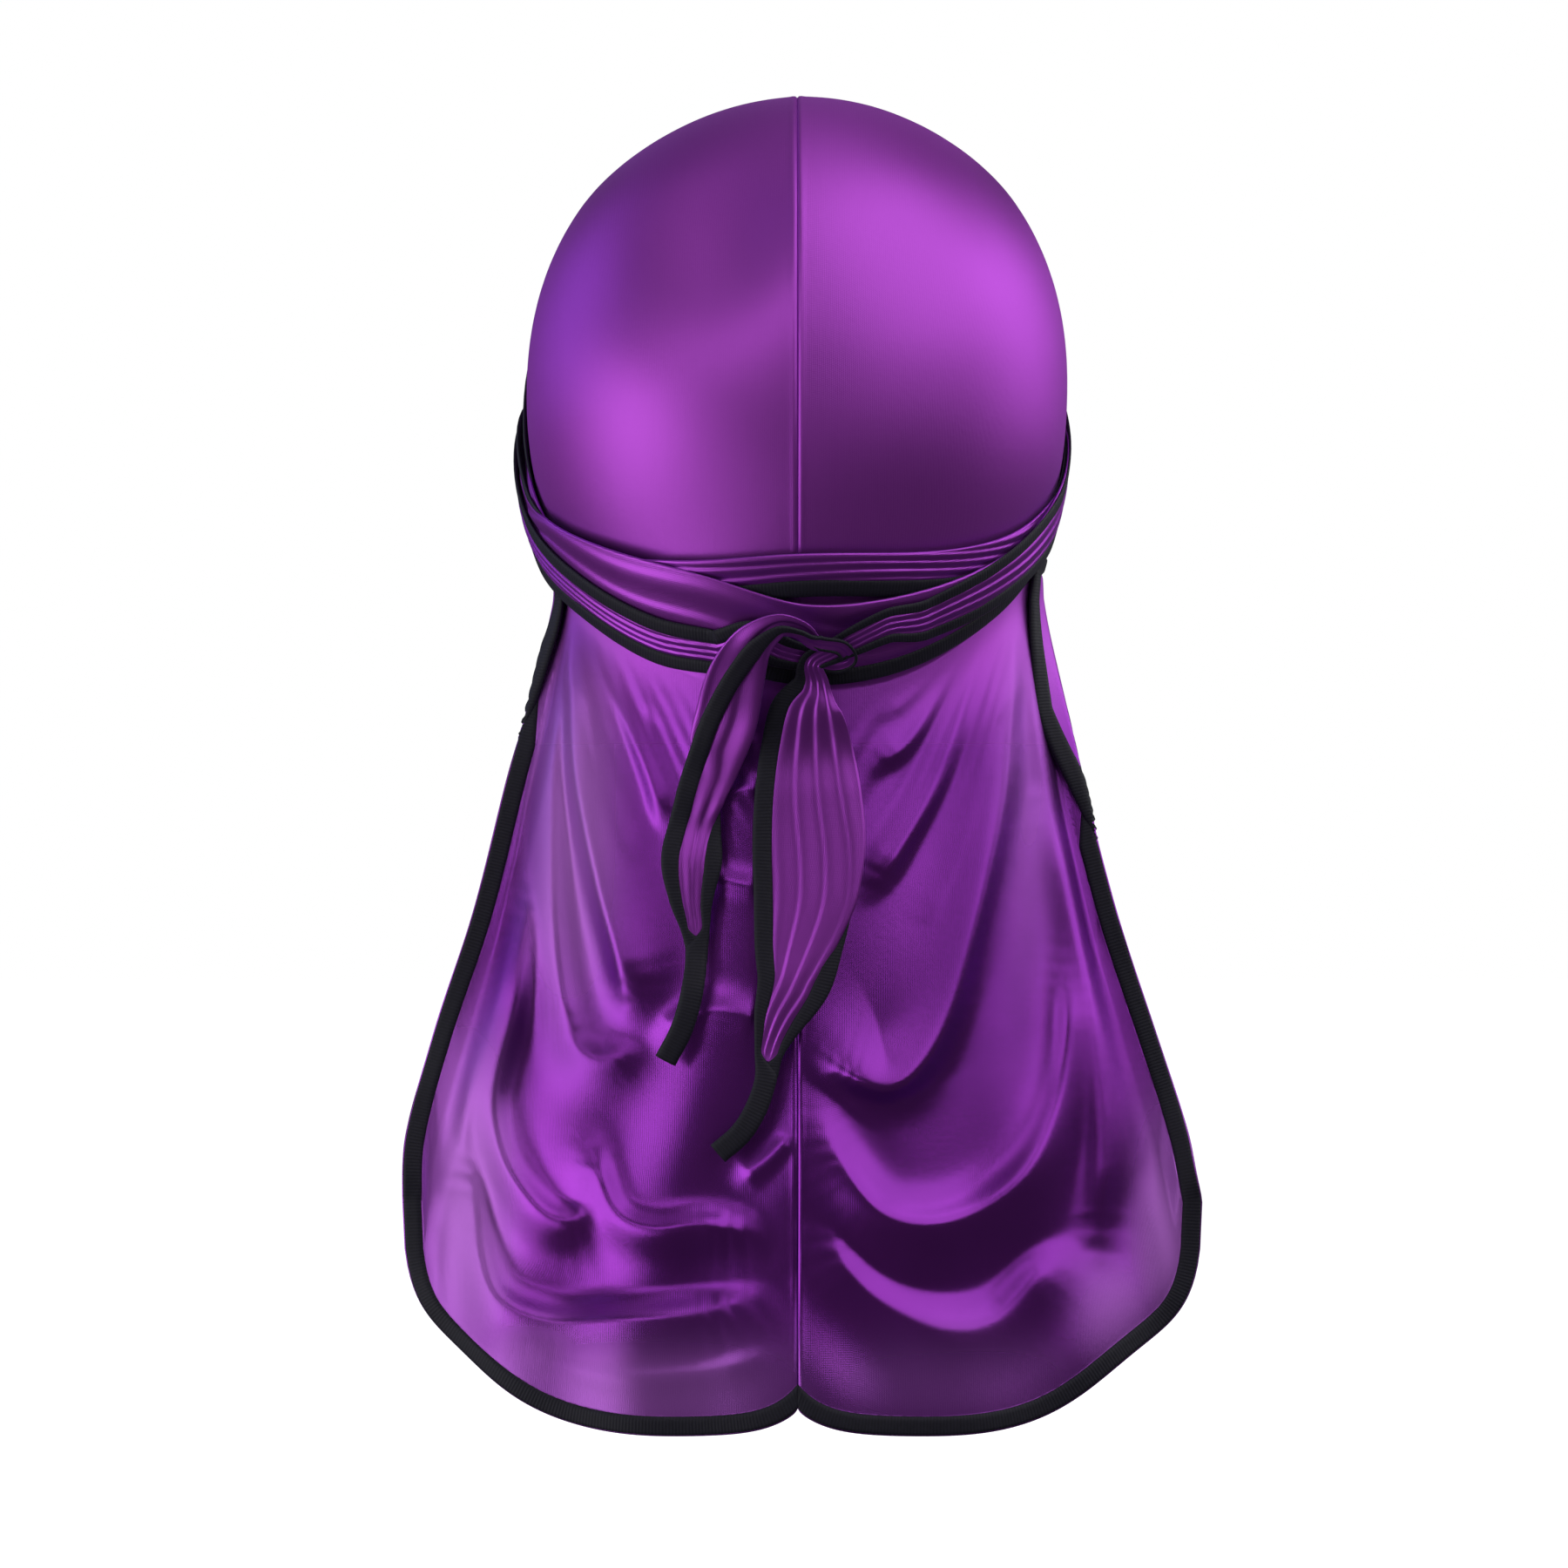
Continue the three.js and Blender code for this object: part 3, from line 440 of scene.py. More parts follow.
def panel_grid(side):
    """One panel's cloth up to its binding, with its outward normals and its shares across and down
    (-1 to 0 on the crown, 0 to 1 on the cape). Its columns crowd towards the seam. The cape's hem
    flares backwards, and its corners are trimmed by a bell."""
    t = np.linspace(0, 1, panel_columns + 1)
    across = (t * (column_crowd + (1 - column_crowd) * t))[None, :]
    crown_down = np.linspace(0, 1, crown_rows, endpoint=False)[:, None]
    cape_down = np.linspace(0, 1, cape_rows + 1)[:, None]
    crown = crown_point(*np.broadcast_arrays(across, crown_down))
    cape = cape_point(*np.broadcast_arrays(across, cape_down))
    points = np.concatenate([crown, cape])
    points[..., 0] *= side
    points[crown_rows:, :, 0] *= 1 + read_table(side_spread[side], 0, 1, cape_down)
    points[crown_rows:, :, 1] += hem_flare * ease(hem_flare_zone, 1, cape_down)
    corner = np.exp(-(((across - trim_place) / corner_reach) ** 2))
    points[crown_rows:, :, 2] += hem_trim[side] * corner * cape_down
    normals = grid_normals(points) * side
    shares = np.concatenate([np.broadcast_to(crown_down - 1, crown.shape[:2]),
                             np.broadcast_to(cape_down, cape.shape[:2])])
    wide = np.broadcast_to(across, shares.shape)
    lift = np.where(shares > 0, ridge_lift(points[..., 0], points[..., 2]), 0)
    lift = (lift + gather_lift(wide, shares, side)) * ease(*folds_ease, shares)
    lift = lift * (1 - edge_hold * ease(edge_zone, 1, wide))
    points[..., 1] += np.where(shares > 0, lift, 0)
    relief = crown_relief(points) * (1 - ease(*crown_fade, shares)) + seam_relief(points[..., 0])
    points = points + normals * relief[..., None]
    points[:, 0, 0] = side * seam_half_gap
    return points, grid_normals(points) * side, wide, shares


# How much of the side edge is turned back over the outer face, from the crown's front (-1) over
# the ear (0) to the hem (1). Columns: share down, width turned back.
turn_back = {
    LEFT: np.array([(-1.0, 0.0), (-0.22, 0.0), (-0.06, 0.009), (0.02, 0.010), (0.10, 0.007),
                    (0.20, 0.003), (0.28, 0.0), (1.0, 0.0)]),
    RIGHT: np.array([(-1.0, 0.0), (-0.22, 0.0), (-0.06, 0.009), (0.05, 0.012), (0.22, 0.012),
                     (0.33, 0.006), (0.44, 0.0), (1.0, 0.0)]),
}
turn_radius = 0.0011
least_radius = 1e-5
rim_rows = 7
hem_zone, hem_zone_ease = 0.6, 0.15
hem_look = 0.005
notch_reach = 0.004


def evened(values, rows):
    """Each row of values averaged with its neighbours under a bell so many rows wide."""
    steps = np.arange(-2 * rows, 2 * rows + 1)
    bell = np.exp(-((steps / rows) ** 2))
    padded = np.pad(values, ((2 * rows, 2 * rows), (0, 0)), mode="edge")
    return np.stack([np.convolve(part, bell / bell.sum(), "valid") for part in padded.T], axis=1)


def rim_path(points, normals, shares, side):
    """The panel's rim from the temple down the side and along the hem to the seam. Low down, where
    the grid is drawn out at the lobe's corner, its normal is square to the rim and to the line to
    the cloth that lies a little further in. At the seam it points straight down."""
    place = np.concatenate([points[:, -1], points[-1, -2::-1]])
    normal = np.concatenate([normals[:, -1], normals[-1, -2::-1]])
    down = np.concatenate([shares[:, -1], np.ones(panel_columns)])
    run = np.gradient(place, axis=0)
    low = np.flatnonzero(down > hem_zone)
    inward = unit(stack(run[low, 2], 0.0, -run[low, 0])) * side * hem_look
    cape = points[crown_rows:].reshape(-1, 3)
    look = place[low] + inward
    away = np.hypot(*(look[:, None, part] - cape[None, :, part] for part in (0, 2)))
    hem_normal = unit(np.cross(place[low] - cape[away.argmin(axis=1)], run[low])) * side
    hem_share = ease(hem_zone, hem_zone + hem_zone_ease, down[low])[:, None]
    normal[low] = normal[low] * (1 - hem_share) + hem_normal * hem_share
    normal = unit(evened(normal, rim_rows))
    outward = unit(np.cross(run, normal)) * side
    near_seam = np.exp(-np.abs(place[:, :1]) / notch_reach) * (down[:, None] >= 1)
    outward = unit(outward * (1 - near_seam) + np.array([0.0, 0.0, -1.0]) * near_seam)
    return place, normal, outward, down


def rim_cloth(rim, inset, side):
    """Cloth at a distance in from its raw edge, and its normal. It lies flat, or goes out to the
    fold, round it on a small half circle and back over the outer face."""
    place, normal, outward, down = (part[:, None] for part in rim)
    turned = np.interp(down, turn_back[side][:, 0], turn_back[side][:, 1])
    radius = least_radius + turn_radius * ease(0, binding_width, turned)
    angle = (turned - inset) / radius
    bend = np.clip(angle, -np.pi / 2, np.pi / 2)
    straight = np.maximum(0, np.abs(angle) - np.pi / 2) * radius
    out = binding_width - radius + radius * np.cos(bend) - straight
    up = radius + radius * np.sin(bend)
    points = place + outward * out[..., None] + normal * up[..., None]
    facing = -outward * np.cos(bend)[..., None] - normal * np.sin(bend)[..., None]
    return points, facing, turned


def fill_mesh(name, points, faces, smooth=True):
    """Mesh object from an array of points and an array or list of faces."""
    mesh = bpy.data.meshes.new(name)
    mesh.from_pydata(points.reshape(-1, 3).tolist(), [], faces)
    mesh.polygons.foreach_set("use_smooth", np.full(len(mesh.polygons), smooth))
    mesh.update()
    piece = bpy.data.objects.new(name, mesh)
    bpy.context.scene.collection.objects.link(piece)
    return piece


def quads(index):
    """Four-cornered faces of a grid of point numbers."""
    corners = index[:-1, :-1], index[:-1, 1:], index[1:, 1:], index[1:, :-1]
    return np.stack([corner.ravel() for corner in corners], axis=1)


def add_value(piece, name, values):
    """A number at each point of a mesh, for its material to read."""
    layer = piece.data.attributes.new(name, "FLOAT", "POINT")
    layer.data.foreach_set("value", np.asarray(values, dtype=np.float32).ravel())


def add_threads(piece, threads):
    """The cloth's own UV map, in metres along its two threads, one pair for each point."""
    layer = piece.data.uv_layers.new(name="threads")
    corners = np.empty(len(piece.data.loops), dtype=np.int32)
    piece.data.loops.foreach_get("vertex_index", corners)
    layer.data.foreach_set("uv", threads.reshape(-1, 2)[corners].astype(np.float32).ravel())


def new_material(name):
    """Empty node material, its node tree and its shader."""
    material = bpy.data.materials.new(name)
    material.use_nodes = True
    return material, material.node_tree, material.node_tree.nodes["Principled BSDF"]


def add_node(tree, kind, output, sources, **settings):
    """Output of a new node with its settings. Each of its named inputs takes a value, or is linked
    to another node's output."""
    node = tree.nodes.new("ShaderNode" + kind)
    for name, value in settings.items():
        setattr(node, name, value)
    for name, source in sources.items():
        if isinstance(source, bpy.types.NodeSocket):
            tree.links.new(source, node.inputs[name])
        else:
            node.inputs[name].default_value = source
    return node.outputs[output]


def mix(tree, factor, a, b, kind="FLOAT"):
    """Mix of a and b by a factor, from 0, which is a, to 1, which is b."""
    sources = {"Factor": factor, "A": a, "B": b}
    return add_node(tree, "Mix", "Result", sources, data_type=kind)


satin_colour = (0.30, 0.043, 0.45, 1)
satin_deep = (0.17, 0.024, 0.28, 1)
# Painted light: the taut crown and ties are painted this paler colour, and the loose cape's colours
# above stand as painted shade.
satin_taut_painted_light = (0.40, 0.068, 0.54, 1)
# Painted light coming through a single layer: a paler, greyer colour.
satin_painted_backlight = (0.40, 0.13, 0.54, 1)
metal_loose = 0.92
metal_taut = 0.88
metal_sheer = 0.35
roughness_loose = 0.27
roughness_taut = 0.46
thread_scale = 640
slub_scale = 700
cloud_scale = 26
satin_bump = 0.28


def make_satin():
    """Glossy satin: two crossed rows of fine threads, faint slubs and a violet sheen. It is duller
    where it is stretched taut, and there its colour is painted paler as painted light, against the
    darker painted shade of the loose cape. Where it hangs in a single layer, the light that comes
    through is painted in as a paler, greyer colour."""
    material, tree, shader = new_material("satin")
    shader.inputs["Roughness"].default_value = roughness_loose
    shader.inputs["Anisotropic"].default_value = 0.35
    shader.inputs["Specular IOR Level"].default_value = 0.3
    shader.inputs["Specular Tint"].default_value = (0.86, 0.55, 1.0, 1.0)
    shader.inputs["Sheen Weight"].default_value = 0.12
    shader.inputs["Sheen Roughness"].default_value = 0.4
    shader.inputs["Sheen Tint"].default_value = (0.62, 0.36, 1.0, 1.0)

    threads = add_node(tree, "UVMap", "UV", {}, uv_map="threads")
    place = add_node(tree, "TexCoord", "Object", {})
    slub = add_node(tree, "TexNoise", "Fac", {"Scale": slub_scale, "Detail": 4, "Vector": place})
    cloud = add_node(tree, "TexNoise", "Fac", {"Scale": cloud_scale, "Detail": 2, "Vector": place})
    rows = {"Scale": thread_scale, "Distortion": 0.4, "Vector": threads}
    warp = add_node(tree, "TexWave", "Fac", rows, bands_direction="X")
    weft = add_node(tree, "TexWave", "Fac", rows, bands_direction="Y")
    grain = mix(tree, 0.55, mix(tree, 0.35, warp, weft), slub)
    bump = {"Strength": satin_bump, "Distance": 0.0002, "Height": grain}
    tree.links.new(add_node(tree, "Bump", "Normal", bump), shader.inputs["Normal"])

    taut_and_painted_light = add_node(tree, "Attribute", "Fac", {}, attribute_name="taut_and_painted_light")
    sheer_and_backlight = add_node(tree, "Attribute", "Fac", {}, attribute_name="sheer_and_backlight")
    tone = mix(tree, cloud, satin_deep, satin_colour, "RGBA")
    # Painted light and shade: paler on the taut crown and ties, darker on the loose cape.
    painted_light_tone = mix(tree, taut_and_painted_light, tone, satin_taut_painted_light, "RGBA")
    # Painted light coming through a single layer: paler and greyer.
    lit = mix(tree, sheer_and_backlight, painted_light_tone, satin_painted_backlight, "RGBA")
    tree.links.new(lit, shader.inputs["Base Color"])
    thick = mix(tree, taut_and_painted_light, metal_loose, metal_taut)
    tree.links.new(mix(tree, sheer_and_backlight, thick, metal_sheer), shader.inputs["Metallic"])
    gloss = mix(tree, taut_and_painted_light, roughness_loose, roughness_taut)
    tree.links.new(gloss, shader.inputs["Roughness"])
    return material


satin = make_satin()

# How far below and above the nape the cloth goes over from loose to taut, and its colour from the
# loose cape's painted shade to the crown's painted light.
taut_below, taut_above = 0.02, 0.03
# Places where a single layer hangs free of the rest, and the light that comes through is painted in
# as a paler,
# greyer colour. Columns: side, height, half width, half height, strength.
sheer_backlit_places = np.array([
    (0.066, -0.215, 0.013, 0.050, 0.95),
    (0.096, -0.325, 0.014, 0.050, 0.80),
    (0.078, -0.372, 0.020, 0.014, 0.55),
    (0.040, -0.379, 0.045, 0.016, 0.70),
    (-0.067, -0.200, 0.009, 0.055, 0.35),
    (-0.108, -0.335, 0.011, 0.036, 0.90),
    (-0.094, -0.362, 0.016, 0.018, 0.60),
    (-0.045, -0.377, 0.045, 0.014, 0.45),
])
sheer_backlit_round = 2.5


def sheer_backlight_share(x, z):
    """Share of painted light that comes through: the greatest of the rounded places' bells."""
    share = np.zeros(x.shape)
    for side, height, half_width, half_height, strength in sheer_backlit_places:
        away = np.abs((x - side) / half_width) ** sheer_backlit_round
        away = away + np.abs((z - height) / half_height) ** sheer_backlit_round
        share = np.maximum(share, strength * np.exp(-away))
    return share


rims, cape_faces = {}, []
for side, name, node in ((LEFT, "satin_left", "panel_left"), (RIGHT, "satin_right", "panel_right")):
    points, normals, wide, shares = panel_grid(side)
    rim = rim_path(points, normals, shares, side)
    turned = np.interp(rim[3], turn_back[side][:, 0], turn_back[side][:, 1])
    inset = (binding_width + turned)[:, None] * (1 - np.linspace(0, 1, strip_columns + 1))
    strip, _, _ = rim_cloth(rim, inset, side)
    count = points.shape[0] * points.shape[1]
    index = np.arange(count).reshape(points.shape[:2])
    rim_index = np.concatenate([index[:, -1], index[-1, -2::-1]])
    strip_index = count + np.arange(strip[:, 1:].size // 3).reshape(len(rim_index), strip_columns)
    strip_index = np.concatenate([rim_index[:, None], strip_index], axis=1)
    faces = np.concatenate([quads(index), quads(strip_index)])
    if side == LEFT:
        faces = faces[:, ::-1]
    everything = np.concatenate([points.reshape(-1, 3), strip[:, 1:].reshape(-1, 3)])
    panel = fill_mesh(name, everything, faces.tolist())
    # Painted light coming through a single layer, where the cloth hangs free.
    add_value(panel, "sheer_and_backlight", sheer_backlight_share(everything[:, 0], everything[:, 2]))
    # The taut share also paints the crown's colour paler as painted light.
    taut_and_painted_light = ease(-nape_drop - taut_below, -nape_drop + taut_above, everything[:, 2])
    add_value(panel, "taut_and_painted_light", taut_and_painted_light)
    girth = length(np.diff(points, axis=1, prepend=points[:, :1]))[..., 0].cumsum(axis=1)
    run = length(np.diff(points, axis=0, prepend=points[:1]))[..., 0].cumsum(axis=0)
    body_threads = np.stack([girth, run], axis=-1).reshape(-1, 2)
    rim_run = length(np.diff(rim[0], axis=0, prepend=rim[0][:1])).cumsum()[:, None]
    strip_girth = girth[:, -1].max() + binding_width - inset[:, 1:]
    strip_threads = np.stack(np.broadcast_arrays(strip_girth, rim_run), axis=-1).reshape(-1, 2)
    add_threads(panel, np.concatenate([body_threads, strip_threads]))
    panel.data.materials.append(satin)
    wall = panel.modifiers.new("wall", "SOLIDIFY")
    wall.thickness = cloth
    wall.offset = 0
    rims[side] = rim
    cape_faces.append(points[crown_rows:].reshape(-1, 3))
    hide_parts(node)
    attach(panel, "root")
cape_face = np.concatenate(cape_faces)

# Binding
# Black tape folded over the raw edge and stitched down: one length along the forehead, one down
# each side and round the lobe of the cape to the notch.

tape_half = 0.0009
edge_overhang = 0.0003
bind_short = 0.0002
tape_colour = np.array([0.005, 0.0044, 0.009])
tape_pale = 2.4
rib_scale = 330
fuzz_scale = 600


def make_tape_material():
    """Black woven tape: cross ribs, a little fuzz and a soft sheen."""
    material, tree, shader = new_material("black_tape")
    shader.inputs["Roughness"].default_value = 0.62
    shader.inputs["Specular IOR Level"].default_value = 0.25
    shader.inputs["Sheen Weight"].default_value = 0.05
    shader.inputs["Sheen Tint"].default_value = (0.6, 0.6, 0.9, 1.0)
    threads = add_node(tree, "UVMap", "UV", {}, uv_map="threads")
    place = add_node(tree, "TexCoord", "Object", {})
    ribs = {"Scale": rib_scale, "Distortion": 0.6, "Vector": threads}
    rib = add_node(tree, "TexWave", "Fac", ribs, bands_direction="Y")
    fuzz = add_node(tree, "TexNoise", "Fac", {"Scale": fuzz_scale, "Vector": place})
    weave = mix(tree, 0.5, rib, fuzz)
    bump = {"Strength": 0.5, "Distance": 0.0002, "Height": weave}
    tree.links.new(add_node(tree, "Bump", "Normal", bump), shader.inputs["Normal"])
    tone = mix(tree, weave, (*tape_colour, 1), (*(tape_pale * tape_colour), 1), "RGBA")
    tree.links.new(tone, shader.inputs["Base Color"])
    return material


tape = make_tape_material()


def close_sections(name, sections):
    """Closed piece through rings of points: side faces between the rings and one at each end,
    all turned outwards, with a UV map of the way round and the way along."""
    rings, corners = sections.shape[:2]
    index = np.arange(rings * corners).reshape(rings, corners)
    faces = quads(np.concatenate([index, index[:, :1]], axis=1)).tolist()
    faces += [index[0, ::-1].tolist(), index[-1].tolist()]
    first = sections[:-1]
    sides = np.roll(first, -1, axis=1) - first, sections[1:] - first
    centre = sections.mean(axis=1, keepdims=True)[:-1]
    facing = (np.cross(*sides) * (first - centre)).sum()
    if facing < 0:
        faces = [face[::-1] for face in faces]
    piece = fill_mesh(name, sections, faces)
    around = length(np.diff(sections, axis=1, prepend=sections[:, :1]))[..., 0].cumsum(axis=1)
    middle = sections.mean(axis=1)
    along = length(np.diff(middle, axis=0, prepend=middle[:1]))[:, 0].cumsum()
    add_threads(piece, np.stack(np.broadcast_arrays(around, along[:, None]), axis=-1))
    return piece


# Half the tape's thickness at steps across it: full in the middle and rounded at its edges.
bind_steps = 9
tape_profile = np.sqrt(np.clip(1 - np.abs(np.linspace(-1, 1, bind_steps)) ** 5, 0.08, 1))
tape_profile = (tape_half * tape_profile)[None, :, None]


def thicken(name, middle, facing):
    """Tape with rounded edges, as thick above as below its middle face."""
    over, under = middle + facing * tape_profile, middle - facing * tape_profile
    return close_sections(name, np.concatenate([over, under[:, ::-1]], axis=1))


for side, label in ((LEFT, "left"), (RIGHT, "right")):
    inset = np.linspace(-edge_overhang, binding_width - bind_short, bind_steps)[None, :]
    middle, facing, _ = rim_cloth(rims[side], inset * np.ones((len(rims[side][0]), 1)), side)
    binding = thicken(f"side_tape_{label}", middle, facing)
    binding.data.materials.append(tape)
    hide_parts(f"side_binding_{label}")
    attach(binding, "root")


def head_normal(turn, z):
    """Outward direction of the head there, from small differences."""
    around = head_point(turn + 0.01, z) - head_point(turn - 0.01, z)
    upward = head_point(turn, z + 0.0005) - head_point(turn, z - 0.0005)
    return unit(np.cross(upward, around))


def turn_of(place):
    """Turn of a point round from the nape."""
    return np.arctan2(place[..., 0] / (1 + head_egg * place[..., 1] / head_back), place[..., 1])


front_places = 161
front_across = np.linspace(-1, 1, front_places)
front_place = forehead_point(np.abs(front_across))
front_place[:, 0] *= np.where(front_across < 0, RIGHT, LEFT)
front_normal = head_normal(turn_of(front_place), front_place[:, 2])
front_outward = unit(np.cross(front_normal, np.gradient(front_place, axis=0)))
front_outward *= -np.sign(front_outward[:, 2:])
front_steps = np.linspace(-2 * edge_overhang, binding_width, bind_steps)
front_mid = (front_place[:, None] + front_outward[:, None] * front_steps[None, :, None]
             + front_normal[:, None] * cloth / 2)
front_binding = thicken("forehead_tape", front_mid, front_normal[:, None])
front_binding.data.materials.append(tape)
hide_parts("front_binding")
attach(front_binding, "root")

# Ties
# Two long satin straps with taped edges. Each leaves its temple, crosses behind, goes round the
# other side and the forehead and comes back to the knot, then hangs as a tail.

strap_width = 0.038
knot_width = 0.024
knot_side = -0.0023
knot_level = 0.89
strap_cloth = 0.0006
pleat_depth = 0.0005
crown_depth = 0.0005
first_stand = 0.0012
layer_step = 0.0013
knot_step = 0.0019
knot_clear = 0.0016
tail_clear = 0.0018
tip_width = 0.0064
tape_width = 0.0055
tape_share = {LEFT: 0.30, RIGHT: 0.25}
tape_narrow = 0.012
tucked_more = 0.13
tape_lap = 0.0006
# The ties' taut share, which also paints their colour paler as painted light.
tie_taut_and_painted_light = 0.7
tail_reach = 0.012
snug_turn = -90
snug_reach = 38
snug_share = 0.45


def level_of(share):
    """Height between the forehead edge (0) and the nape (1)."""
    return -forehead_drop - share * (nape_drop - forehead_drop)


# Columns: turn in degrees round from the nape towards the wearer's left, level as a share,
# width as a share of the strap's, the layers of tie that it lies over, and how its upper and its
# lower edge lie: 0 with the tape out at the edge, -1 with the tape tucked under, and more than 0
# folded back over the top by so many millimetres.
left_wrap = np.array([
    (118, 0.28, 0.95, 1.0, 0, 0), (108, 0.28, 0.92, 2.0, 0, 0), (97, 0.31, 0.86, 2.8, 0, 0),
    (87, 0.38, 0.74, 2.8, 0, 0), (75, 0.48, 0.52, 2.4, -0.4, 0), (60, 0.57, 0.52, 2.0, -1, 0),
    (40, 0.67, 0.62, 2.0, -1, 0), (20, 0.76, 0.70, 2.0, -1, 0), (0, 0.85, 0.71, 2.0, -1, 0),
    (-20, 0.82, 0.68, 2.0, -1, 0), (-45, 0.68, 0.56, 2.0, -1, 0), (-70, 0.47, 0.48, 2.0, -1, 0),
    (-90, 0.34, 0.60, 2.0, -1, 0), (-118, 0.13, 0.60, 2.0, 0, 0), (-140, -0.01, 0.52, 2.0, 0, 0),
    (-160, -0.07, 0.47, 1.0, 0, 0), (-180, -0.09, 0.45, 1.0, 0, 0), (-200, -0.07, 0.47, 1.2, 0, 0),
    (-215, -0.01, 0.52, 2.0, 0, 0), (-232, 0.10, 0.60, 3.0, 0, 0), (-253, 0.24, 0.62, 3.8, 0, 0),
    (-263, 0.32, 0.60, 4.2, 0, 0), (-273, 0.42, 0.56, 4.2, 0, 0), (-285, 0.53, 0.50, 3.8, 0, 0),
    (-308, 0.68, 0.43, 3.2, 0, 0), (-330, 0.82, 0.43, 3.0, 0, 0), (-344, 0.86, 0.40, 3.0, 0, 0),
])
right_wrap = np.array([
    (-118, 0.27, 0.95, 1.0, 0, 0), (-105, 0.30, 0.90, 1.0, 0, 0), (-90, 0.38, 0.75, 1.0, 0, 0),
    (-75, 0.47, 0.62, 1.0, -0.5, 0), (-60, 0.55, 0.50, 1.0, -1, 0), (-43, 0.62, 0.40, 1.0, -1, 0),
    (-25, 0.66, 0.36, 1.0, -1, 0), (0, 0.67, 0.35, 1.0, -1, 0), (20, 0.69, 0.38, 1.0, -1, 0),
    (45, 0.67, 0.45, 1.0, -1, 0), (60, 0.61, 0.48, 1.0, -1, 0), (75, 0.46, 0.48, 1.0, -1, 0),
    (87, 0.32, 0.60, 1.0, 0, 0), (97, 0.14, 0.62, 1.0, 0, 0), (107, -0.02, 0.55, 1.0, 0, 0),
    (118, -0.13, 0.52, 1.0, 0, 0), (135, -0.21, 0.48, 1.0, 0, 0), (160, -0.26, 0.45, 1.0, 0, 0),
    (180, -0.27, 0.44, 1.0, 0, 0), (200, -0.25, 0.46, 1.6, 0, 0), (215, -0.17, 0.50, 2.9, 0, 0),
    (230, -0.04, 0.58, 3.0, 0, 0), (242, 0.08, 0.60, 3.0, 0, 0), (255, 0.20, 0.60, 3.0, 0, 0),
    (270, 0.32, 0.58, 3.0, 0, 0), (288, 0.47, 0.55, 3.0, 0, 0), (300, 0.54, 0.50, 3.0, 0, 0),
    (313, 0.63, 0.45, 3.0, 0, 0), (322, 0.69, 0.42, 3.0, 0, 0), (334, 0.76, 0.36, 3.0, 0, 0),
])
# Columns: side and rise from the knot's centre as shares of its width, width as a share of the
# strap's, the layers of the knot that lie below, and the two edges as above.
left_knot = np.array([
    (0.60, 0.10, 0.35, 0.0, 0, 0), (0.26, -0.03, 0.27, 0.2, 0, 0),
    (-0.06, -0.10, 0.20, 0.2, 0, 0), (-0.34, -0.17, 0.16, 0.2, 0, 0),
    (-0.50, -0.12, 0.14, 0.8, 0, 0), (-0.42, 0.02, 0.13, 1.6, 0, 0),
    (-0.12, 0.08, 0.14, 2.6, -0.5, 0), (0.08, 0.23, 0.15, 3.8, -1, 2.0),
    (0.31, 0.27, 0.19, 4.8, -1, 3), (0.60, 0.09, 0.30, 5.2, -1, 4.4),
    (0.81, -0.31, 0.43, 4.6, -1, 4.7), (0.95, -0.85, 0.48, 2.6, -1, 2.4),
])
right_knot = np.array([
    (-0.95, 0.28, 0.30, 0.3, 0, 0), (-0.62, 0.13, 0.26, 0.7, 0, 0),
    (-0.32, -0.02, 0.21, 0.95, 0, 0), (-0.08, -0.15, 0.20, 1.2, 0, -0.3),
    (-0.06, -0.38, 0.28, 1.0, 0, -1), (0.00, -0.70, 0.54, 0.8, 0, -1),
])
# Columns: side as a share of the cape's half width, share down to the hem, width as a share of
# the strap's, whether only bare tape is left, and the two edges as above.
left_tail = np.array([
    (0.214, 0.105, 0.41, 0, -1.0, 0.3), (0.242, 0.146, 0.37, 0, -1.0, 0.0),
    (0.253, 0.180, 0.40, 0, -0.4, 0.0), (0.264, 0.233, 0.46, 0, 0.0, 0.0),
    (0.264, 0.285, 0.33, 0, 0.0, 0.0), (0.255, 0.319, 0.23, 0, 0.0, 0.0),
    (0.251, 0.354, 0.00, 1, 0.0, 0.0), (0.262, 0.406, 0.00, 1, 0.0, 0.0),
    (0.288, 0.456, 0.00, 1, 0.0, 0.0), (0.328, 0.498, 0.00, 1, 0.0, 0.0),
])
right_tail = np.array([
    (-0.022, 0.082, 0.70, 0, 0.0, -1.0), (-0.026, 0.146, 0.81, 0, 0.0, -1.0),
    (-0.028, 0.212, 0.85, 0, 0.0, -1.0), (-0.020, 0.274, 0.79, 0, 0.0, -1.0),
    (-0.005, 0.339, 0.69, 0, 0.0, -0.5), (0.010, 0.392, 0.57, 0, 0.0, 0.0),
    (0.047, 0.443, 0.39, 0, 0.0, 0.0), (0.070, 0.485, 0.23, 0, 0.0, 0.0),
    (0.079, 0.522, 0.00, 1, 0.0, 0.0), (0.103, 0.561, 0.00, 1, 0.0, 0.0),
    (0.141, 0.594, 0.00, 1, 0.0, 0.0), (0.197, 0.621, 0.00, 1, 0.0, 0.0),
])


def off_head(turn, z, stand):
    """Point that stands off the head by a distance along its normal."""
    return head_point(turn, z) + head_normal(turn, z) * np.asarray(stand)[..., None]


def knot_stand(rows):
    """Distance from the head at which each station of the knot lies."""
    return first_stand + 2 * layer_step + knot_clear + rows[:, 3] * knot_step


